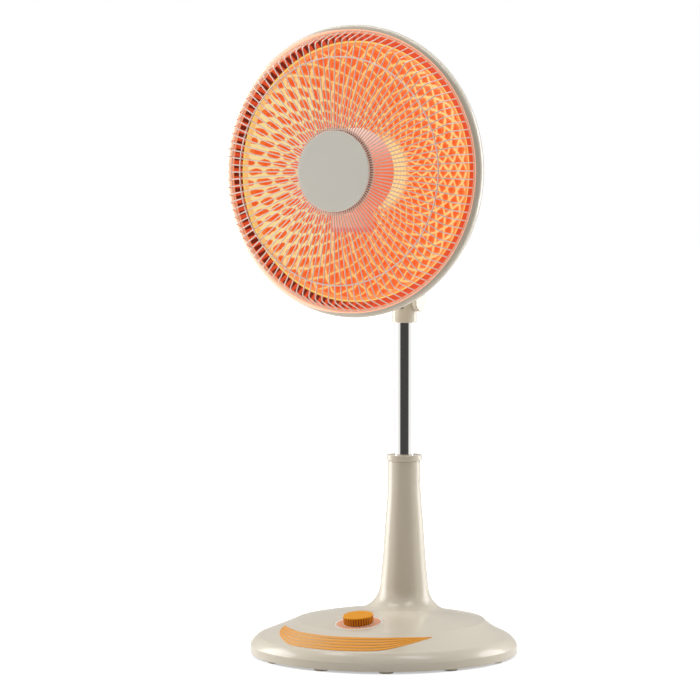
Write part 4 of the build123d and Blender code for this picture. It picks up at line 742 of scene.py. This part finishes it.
def dress(piece, finish):
    piece.data.materials.clear()
    piece.data.materials.append(finishes[finish])


for name, node in nodes.items():
    dress(node, slot_of[name])
dress(nodes["rim_ring"], "rim_enamel")
print("dressed", len(nodes), "CAD nodes")

# %% [markdown]
# ## Growing pieces with Geometry Nodes
# What repeats or follows a rule is grown by a tree: the sheet of the dish, the wires of the grille
# and the turns of the heating coil. Loops over vertices could build them too, but a tree keeps every
# size as a named input. Its result is turned into a plain mesh, because an export can't read instances
# or live trees.

# %% Geometry Nodes helpers

def new_tree(name, inputs):
    tree = bpy.data.node_groups.new(name, "GeometryNodeTree")
    for direction in ("INPUT", "OUTPUT"):
        tree.interface.new_socket("Geometry", in_out=direction, socket_type="NodeSocketGeometry")
    for label, value in inputs.items():
        kind = "NodeSocketInt" if isinstance(value, int) else "NodeSocketFloat"
        tree.interface.new_socket(label, in_out="INPUT", socket_type=kind).default_value = value
    return tree, tree.nodes.new("NodeGroupInput"), tree.nodes.new("NodeGroupOutput")


def geo(tree, kind, inputs=None, **settings):
    return add_node(tree, "GeometryNode" + kind, inputs, **settings)


def vector(tree, x, y, z):
    return add_node(tree, "ShaderNodeCombineXYZ", {0: x, 1: y, 2: z}).outputs[0]


def finish_tree(tree, end, geometry, material):
    """Realize Instances and Set Material close every tree."""
    shaded = geo(tree, "SetShadeSmooth", {"Geometry": geometry})
    real = geo(tree, "RealizeInstances", {"Geometry": shaded.outputs[0]})
    coloured = geo(tree, "SetMaterial", {"Geometry": real.outputs[0], "Material": material})
    link(tree, end.inputs[0], coloured.outputs[0])


print("Geometry Nodes helpers ready")

# %% Piece helpers

def plain_mesh(piece):
    """The mesh that an object shows once its modifiers have run."""
    depsgraph = bpy.context.evaluated_depsgraph_get()
    return bpy.data.meshes.new_from_object(piece.evaluated_get(depsgraph))


def new_piece(name, mesh):
    piece = bpy.data.objects.new(name, mesh)
    collection.objects.link(piece)
    print(name, "has", len(mesh.polygons), "faces")
    return piece


def grow(name, tree, start_data=None):
    """Runs a tree once and returns its result as an object with a plain mesh."""
    seed = bpy.data.objects.new(name + "_seed", start_data or bpy.data.meshes.new(name + "_seed"))
    collection.objects.link(seed)
    seed.modifiers.new("grow", "NODES").node_group = tree
    mesh = plain_mesh(seed)
    bpy.data.objects.remove(seed)
    mesh.name = name
    return new_piece(name, mesh)


def solidify(piece, thickness, offset):
    modifier = piece.modifiers.new("wall", "SOLIDIFY")
    modifier.thickness = thickness
    modifier.offset = offset
    mesh = plain_mesh(piece)
    piece.modifiers.clear()
    old = piece.data
    piece.data = mesh
    bpy.data.meshes.remove(old)


def adopt(piece, body, slot, *replaced):
    """Hangs a new piece on its body and hides the CAD nodes that it stands in for; the slot is not used."""
    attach(piece, body)
    if replaced:
        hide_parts(*replaced)


print("piece helpers ready")

# %% [markdown]
# ## The dimpled dish
# The dish is thin pressed sheet. A displacement texture could press it, but only real geometry shows
# in the outline and in the export. So a flat grid is bent into the dish: one side of the grid is the
# angle, the other the radius. The parabola gives the depth, and the lattice presses each diamond a
# little forward, with soft flanks. The seam of the grid closes with Merge by Distance before the sheet
# gets its thickness.

# %% Dimpled dish
dish_depth = 0.0600
dish_flat_radius = 0.0280
dish_hole_radius = 0.0143
dish_sheet = 0.0008
dish_front = 0.1460                  # of the dish's edge, in front of the mast
dimple_depth = 0.0009
dimple_flank = (0.02, 0.85)
dimple_inner_fade = (dish_flat_radius + 0.002, dish_flat_radius + 0.010)
dimple_outer_fade = (dish_radius - 0.005, dish_radius - 0.008)
grid_columns = diamond_count * 10 + 1
grid_rows = 151
seam_gap = 0.00001


def make_dish_tree():
    tree, start, end = new_tree("pressed dish", {
        "Inner radius": dish_hole_radius, "Outer radius": dish_radius, "Flat radius": dish_flat_radius,
        "Depth": dish_depth, "Dimple depth": dimple_depth, "Columns": grid_columns, "Rows": grid_rows,
    })
    given = start.outputs
    span = maths(tree, "SUBTRACT", given["Outer radius"], given["Inner radius"])
    grid = geo(tree, "MeshGrid", {"Size X": 2 * pi, "Size Y": span, "Vertices X": given["Columns"],
                                  "Vertices Y": given["Rows"]})
    place = split(tree, geo(tree, "InputPosition").outputs[0])
    angle = place["X"]
    middle = product(tree, maths(tree, "ADD", given["Outer radius"], given["Inner radius"]), 0.5)
    radius = maths(tree, "ADD", place["Y"], middle)
    bent = maths(tree, "MAXIMUM", radius, given["Flat radius"])
    share = maths(tree, "DIVIDE", bent, given["Outer radius"])
    depth = product(tree, maths(tree, "SUBTRACT", 1.0, product(tree, share, share)), given["Depth"])
    along, around = lattice(tree, radius, angle)
    pillow = step_between(tree, diamond_rise(tree, along, around), *dimple_flank)
    faded = product(tree, step_between(tree, radius, *dimple_inner_fade),
                    step_between(tree, radius, *dimple_outer_fade))
    press = product(tree, product(tree, pillow, given["Dimple depth"]), faded)
    back = maths(tree, "SUBTRACT", maths(tree, "ADD", depth, mast_y - dish_front), press)
    point = vector(tree, product(tree, radius, maths(tree, "COSINE", angle)), back,
                   maths(tree, "MULTIPLY_ADD", radius, maths(tree, "SINE", angle), head_z))
    bent_grid = geo(tree, "SetPosition", {"Geometry": grid.outputs["Mesh"], "Position": point})
    closed = geo(tree, "MergeByDistance", {"Geometry": bent_grid.outputs[0], "Distance": seam_gap})
    flipped = geo(tree, "FlipFaces", {"Mesh": closed.outputs[0]})
    finish_tree(tree, end, flipped.outputs[0], finishes["copper_reflector"])
    return tree


dish = grow("dimpled_dish", make_dish_tree())
solidify(dish, dish_sheet, -1)
adopt(dish, "head", "copper_reflector", "reflector")

# %% [markdown]
# ## The step and flange of the reflector
# Outside the dimples the sheet steps forward and ends in a flat flange under the rim. A Spin or a
# Screw modifier could turn it. A small lathe does the same in one pass: it turns a closed outline
# round the axis of the head and recalculates the normals, so that the faces point outwards.

# %% Lathe round the head axis
crease_angle = radians(35)


def finish_mesh(name, mesh, finish):
    """Turns a bmesh into a shaded piece with its finish."""
    bmesh.ops.recalc_face_normals(mesh, faces=mesh.faces)
    data = bpy.data.meshes.new(name)
    mesh.to_mesh(data)
    mesh.free()
    data.shade_smooth()
    data.materials.append(finishes[finish])
    return new_piece(name, data)


def lathe(name, outline, segments, finish):
    """Turns a closed outline of (radius, distance in front of the mast) round the head's axis."""
    mesh = bmesh.new()
    rings = []
    for number in range(segments):
        turn = 2 * pi * number / segments
        rings.append([
            mesh.verts.new((radius * cos(turn), mast_y - front, head_z + radius * sin(turn)))
            for radius, front in outline
        ])
    for number, ring in enumerate(rings):
        following = rings[(number + 1) % segments]
        for first in range(len(outline)):
            second = (first + 1) % len(outline)
            mesh.faces.new((ring[first], ring[second], following[second], following[first]))
    piece = finish_mesh(name, mesh, finish)
    piece.data.set_sharp_from_angle(angle=crease_angle)
    return piece


# %% Reflector step
flange_front = 0.1538
step_segments = 212
step_outline = [
    (dish_radius - 0.0002, dish_front), (dish_radius + 0.0004, dish_front + 0.0002),
    (step_radius - 0.0006, flange_front - 0.0004), (step_radius + 0.0004, flange_front),
    (flange_radius, flange_front), (flange_radius, flange_front - dish_sheet),
    (step_radius + 0.0008, flange_front - dish_sheet), (dish_radius + 0.0006, dish_front - dish_sheet),
]
step = lathe("reflector_step", step_outline, step_segments, "copper_reflector")
adopt(step, "head", "copper_reflector", "reflector")

# %% [markdown]
# ## The wire grille
# The grille is welded from bent wires. An Array modifier could repeat one, but a tree does all of it:
# a filleted three-point curve is swept with a small circle and copied 106 times round the head's
# axis, and three welded rings and the hub plate are added, all from named sizes.

# %% Wire grille
wire_radius = 0.0009
wire_sides = 10
bend_steps = 7
wire_bends = [(0.0470, -0.1980, 0), (0.1783, -0.1880, 0), (0.1908, -0.1550, 0)]
ring_steps = 212
welded_rings = (              # radius, distance in front of the mast, the input with its thickness
    (0.0588, 0.1954, "Ring radius"), (0.1550, 0.1914, "Ring radius"), (0.1908, 0.1550, "Edge ring radius"),
)
hub_plate_radius = 0.04775
hub_plate_front = 0.1976


def circle_curve(tree, radius, count):
    return geo(tree, "CurvePrimitiveCircle", {"Radius": radius, "Resolution": count}).outputs[0]


def swept_ring(tree, radius, steps, profile, front):
    """A ring with the given profile, stood up round the head's axis in front of the mast."""
    ring = geo(tree, "CurveToMesh", {"Curve": circle_curve(tree, radius, steps), "Profile Curve": profile})
    return geo(tree, "Transform", {"Geometry": ring.outputs[0], "Rotation": (pi / 2, 0, 0),
                                   "Translation": (0, -front, 0)}).outputs[0]


def make_grille():
    tree, start, end = new_tree("wire grille", {
        "Wires": wire_count, "Wire radius": wire_radius, "Ring radius": 0.0010, "Edge ring radius": 0.0011,
        "Bend fillet": 0.0060, "Hub plate width": 0.0075, "Hub plate thickness": 0.0030,
    })
    given = start.outputs
    path = geo(tree, "FilletCurve", {"Curve": given["Geometry"], "Radius": given["Bend fillet"],
                                     "Count": bend_steps}, mode="POLY")
    wire = geo(tree, "CurveToMesh", {"Curve": path.outputs[0], "Fill Caps": True,
                                     "Profile Curve": circle_curve(tree, given["Wire radius"], wire_sides)})
    points = geo(tree, "Points", {"Count": given["Wires"]})
    number = geo(tree, "InputIndex").outputs[0]
    turn = maths(tree, "DIVIDE", product(tree, number, 2 * pi), given["Wires"])
    spokes = geo(tree, "InstanceOnPoints", {
        "Points": points.outputs[0], "Instance": wire.outputs[0], "Rotation": vector(tree, 0.0, turn, 0.0),
    })
    shapes = [spokes.outputs[0]]
    for radius, front, thickness in welded_rings:
        profile = circle_curve(tree, given[thickness], wire_sides)
        shapes.append(swept_ring(tree, radius, ring_steps, profile, front))
    plate = geo(tree, "CurvePrimitiveQuadrilateral", {"Width": given["Hub plate width"],
                                                      "Height": given["Hub plate thickness"]})
    shapes.append(swept_ring(tree, hub_plate_radius, wire_count, plate.outputs[0], hub_plate_front))
    joined = geo(tree, "JoinGeometry")
    for shape in shapes:
        tree.links.new(shape, joined.inputs[0])
    placed = geo(tree, "Transform", {"Geometry": joined.outputs[0], "Translation": (0, mast_y, head_z)})
    finish_tree(tree, end, placed.outputs[0], finishes["grille_wire"])
    return tree


def open_curve(name, points):
    """A poly curve through points, for a tree to sweep."""
    data = bpy.data.curves.new(name, "CURVE")
    data.dimensions = "3D"
    spline = data.splines.new("POLY")
    spline.points.add(len(points) - 1)
    for point, place in zip(spline.points, points):
        point.co = (*place, 1.0)
    return data


grille = grow("wire_grille", make_grille(), open_curve("wire_path", wire_bends))
adopt(grille, "head", "grille_wire", "front_grille")

# %% [markdown]
# ## The printed bands
# Five thin orange bands are printed on the front of the base. They could be painted in the cover's
# material, but a film of their own has crisp edges and can be exported. Each band lies between two
# curves, whose points are named by their place in the picture. A ray from the camera carries every
# point onto the cover, and a very thin closed film is built there.

# %% Onto the cover
swoosh_upper_pixels = [(284.6, 625.5), (287.5, 627.0), (293.0, 629.3), (302.0, 632.0), (327.0, 635.6),
                       (354.3, 637.1), (382.9, 637.6), (409.6, 637.4), (432.0, 637.1)]
swoosh_lower_pixels = [(284.2, 625.9), (279.3, 632.5), (283.5, 640.5), (293.6, 646.0), (325.7, 650.0),
                       (354.3, 651.4), (382.9, 650.5), (409.6, 644.3), (432.0, 637.6)]


def blend_points(points, share):
    """A point of a smooth curve through evenly counted points."""
    place = share * (len(points) - 1)
    index = min(int(place), len(points) - 2)
    t = place - index
    before, first = points[max(index - 1, 0)], points[index]
    second, after = points[index + 1], points[min(index + 2, len(points) - 1)]
    return tuple(
        0.5 * (2 * q + (r - p) * t + (2 * p - 5 * q + 4 * r - s) * t**2 + (3 * q - p - 3 * r + s) * t**3)
        for p, q, r, s in zip(before, first, second, after)
    )


def pixel_ray(across, down):
    """Direction from the camera through a pixel of the picture."""
    middle = photo_width / 2
    local = Vector((across - middle, middle - down, -focal_pixels))
    return (camera.rotation_euler.to_matrix() @ local).normalized()


bpy.context.view_layer.update()
cover_copy = bmesh.new()
cover_copy.from_mesh(nodes["base_cover"].data)
cover_tree = BVHTree.FromBMesh(cover_copy)
cover_copy.free()
print("cover ready for", len(swoosh_upper_pixels), "points along each edge")

# %% Printed bands
band_count = 5
band_share = 0.84             # of the pitch; the rest is the pale line between two bands
print_thickness = 0.0003
print_columns = 96
print_rows = 4


def print_band(mesh, low, high):
    """A thin film on the cover, between two shares of the way from the upper to the lower edge."""
    film = []
    for column in range(print_columns + 1):
        share = column / print_columns
        top = blend_points(swoosh_upper_pixels, share)
        bottom = blend_points(swoosh_lower_pixels, share)
        line = []
        for row in range(print_rows + 1):
            mix = low + (high - low) * row / print_rows
            direction = pixel_ray(*(a + (b - a) * mix for a, b in zip(top, bottom)))
            place, normal = cover_tree.ray_cast(camera.location, direction)[:2]
            line.append([mesh.verts.new(place + normal * print_thickness * way) for way in (-1, 1)])
        film.append(line)
    for here, there in zip(film, film[1:]):
        for row in range(print_rows):
            for side in (0, 1):
                mesh.faces.new((here[row][side], here[row + 1][side],
                                there[row + 1][side], there[row][side]))
        for row in (0, print_rows):
            mesh.faces.new((here[row][0], here[row][1], there[row][1], there[row][0]))
    for line in (film[0], film[-1]):
        for row in range(print_rows):
            mesh.faces.new((line[row][0], line[row][1], line[row + 1][1], line[row + 1][0]))


def make_print():
    mesh = bmesh.new()
    for band in range(band_count):
        low = (band + (1 - band_share) / 2) / band_count
        print_band(mesh, low, low + band_share / band_count)
    return finish_mesh("printed_bands", mesh, "orange_print")


bands = make_print()
adopt(bands, "base", "orange_plastic")

# %% [markdown]
# ## The heating coil
# The hot wire is wound like a spring inside the quartz tube. A Screw modifier winds only round a
# straight axis. So we walk along the tube's centre line, two legs, two small bends and the ring, and
# turn a point round it as we go. One tree sweeps the wire.

# %% Wound coil
coil_front = 0.1485
coil_ring_radius = 0.0420
coil_leg_x = 0.0130
coil_leg_end = 0.0736
coil_bend = 0.0090
coil_radius = 0.0021
coil_wire_radius = 0.00038
coil_wire_sides = 6
coil_pitch = 0.0022
coil_steps = 14


def coil_stations():
    """Points of the tube's centre line at even steps: (across, up, heading angle)."""
    step = coil_pitch / coil_steps
    corner_x = coil_leg_x + coil_bend
    corner_z = -sqrt((coil_ring_radius + coil_bend) ** 2 - corner_x**2)
    turn = atan2(-corner_z, corner_x)
    leg = coil_leg_end + corner_z
    stations = []

    def walk_leg(across, start, way):
        for number in range(int(leg / step)):
            stations.append((across, start + way * number * step, way * pi / 2))

    def walk_arc(across, up, radius, start, sweep):
        way = 1 if sweep > 0 else -1
        for number in range(int(radius * abs(sweep) / step)):
            angle = start + way * number * step / radius
            stations.append((across + radius * cos(angle), up + radius * sin(angle), angle + way * pi / 2))

    walk_leg(coil_leg_x, -coil_leg_end, 1)
    walk_arc(corner_x, corner_z, coil_bend, pi, -turn)
    walk_arc(0, 0, coil_ring_radius, -turn, pi + 2 * turn)
    walk_arc(-corner_x, corner_z, coil_bend, turn, -turn)
    walk_leg(-coil_leg_x, corner_z, -1)
    return stations


def coil_points():
    points = []
    for number, (across, up, heading) in enumerate(coil_stations()):
        turn = 2 * pi * number / coil_steps
        side = coil_radius * cos(turn)
        points.append((across - side * sin(heading), mast_y - coil_front + coil_radius * sin(turn),
                       head_z + up + side * cos(heading)))
    return points


def make_coil_tree():
    tree, start, end = new_tree("wound coil", {"Wire radius": coil_wire_radius, "Sides": coil_wire_sides})
    given = start.outputs
    profile = circle_curve(tree, given["Wire radius"], given["Sides"])
    wire = geo(tree, "CurveToMesh", {"Curve": given["Geometry"], "Profile Curve": profile,
                                     "Fill Caps": True})
    finish_tree(tree, end, wire.outputs[0], finishes["hot_wire"])
    return tree


coil = grow("wound_coil", make_coil_tree(), open_curve("coil_path", coil_points()))
adopt(coil, "head", "hot_wire", "heating_coil")

# %% [markdown]
# ## Light, floor and backdrop
# Two wide soft boxes stand beside the heater, a little behind it, and light it from both sides. The
# room behind the camera is dark, and a dim line stands straight behind the heater. Round and shiny
# things show that at once: the chrome tube and the column get a dark middle and bright flanks, as in
# the photograph. A picture of a studio could light the scene, but two smooth steps say the same. The
# world and the floor are plain white for the camera, and only mirrors see the dark parts of the room.

# %% Room
camera_side = -forward
room_glow = 0.58              # light that the white part of the room gives
dark_room = (0.50, 0.74)      # cosines to the camera's side between which the room goes dark
dark_room_share = 0.94
dim_line = (-0.72, -0.94)     # the same for the dim line behind the heater
dim_line_share = 0.50
white = (1, 1, 1, 1)


def room_shade(tree, direction):
    """How bright a mirror sees the room in each direction."""
    towards = vector_maths(tree, "DOT_PRODUCT", direction, camera_side)["Value"]
    return product(tree, *(
        maths(tree, "MULTIPLY_ADD", step_between(tree, towards, *edges), -share, 1.0)
        for edges, share in ((dark_room, dark_room_share), (dim_line, dim_line_share))
    ))


def make_world():
    world = bpy.data.worlds.new("studio")
    bpy.context.scene.world = world
    world.use_nodes = True
    tree = world.node_tree
    path = add_node(tree, "ShaderNodeLightPath").outputs
    plain = maths(tree, "MAXIMUM", path["Is Camera Ray"], path["Is Transmission Ray"])
    mirror = maths(tree, "MULTIPLY_ADD", path["Is Glossy Ray"], 1 - room_glow, room_glow)
    direction = add_node(tree, "ShaderNodeTexCoord").outputs["Generated"]
    shaded = product(tree, mirror, room_shade(tree, direction))
    strength = maths(tree, "MAXIMUM", plain, shaded)
    fill(tree, tree.nodes["Background"], {"Color": white, "Strength": strength})
    return world


world = make_world()
print("world:", world.name)

# %% Soft boxes
light_middle = Vector((0, mast_y, 0.45))
soft_boxes = {                # place from the middle of the heater, width and height, watts
    "left_box": (-rightward * 1.8 + forward * 0.75 + Vector((0, 0, 0.30)), (1.2, 1.8), 27),
    "right_box": (rightward * 1.8 + forward * 0.80 + Vector((0, 0, 0.25)), (1.0, 1.8), 21),
    "top_box": (Vector((0, 0, 1.9)), (2.4, 0.5), 16),
}

for name, (offset, size, power) in soft_boxes.items():
    data = bpy.data.lights.new(name, "AREA")
    data.shape = "RECTANGLE"
    data.size, data.size_y = size
    data.energy = power
    lamp = bpy.data.objects.new(name, data)
    lamp.location = light_middle + offset
    lamp.rotation_euler = (-offset).to_track_quat("-Z", "Y").to_euler()
    collection.objects.link(lamp)
print(len(soft_boxes), "soft boxes")

# %% Floor
floor_half = 30.0
floor_fade = (0.30, 0.90)     # metres from the heater over which the floor turns from white to the room
floor_paint = 0.86
mirrored_paint = 0.5
near_glow = 0.5               # the floor glows less near the heater, so that its shadow stays


def make_floor():
    material, tree, shader = new_material("studio_floor")
    path = add_node(tree, "ShaderNodeLightPath").outputs
    place = object_place(tree)
    away = step_between(tree, vector_maths(tree, "LENGTH", place)["Value"], *floor_fade)
    heading = vector_maths(tree, "NORMALIZE", place)[0]
    shade = mix_number(tree, away, 1.0, room_shade(tree, heading))
    paint = mix_number(tree, path["Is Glossy Ray"], floor_paint, product(tree, shade, mirrored_paint))
    fill(tree, shader, {"Base Color": paint, "Roughness": 0.9, "Specular IOR Level": 0.0})
    mirrored = product(tree, path["Is Glossy Ray"], shade)
    direct = maths(tree, "MAXIMUM", path["Is Camera Ray"], mirrored)
    strength = product(tree, direct, maths(tree, "MULTIPLY_ADD", away, 1 - near_glow, near_glow))
    glow = add_node(tree, "ShaderNodeEmission", {"Color": white, "Strength": strength})
    total = add_node(tree, "ShaderNodeAddShader", {0: shader.outputs[0], 1: glow.outputs[0]})
    link(tree, tree.nodes["Material Output"].inputs["Surface"], total.outputs[0])
    mesh = bpy.data.meshes.new("floor")
    corners = [(x * floor_half, y * floor_half, 0) for x, y in ((-1, -1), (1, -1), (1, 1), (-1, 1))]
    mesh.from_pydata(corners, [], [(0, 1, 2, 3)])
    mesh.materials.append(material)
    floor = new_piece("floor", mesh)
    return floor


floor = make_floor()

# %% View settings
bpy.context.scene.view_settings.view_transform = "Standard"
print("view transform", bpy.context.scene.view_settings.view_transform)
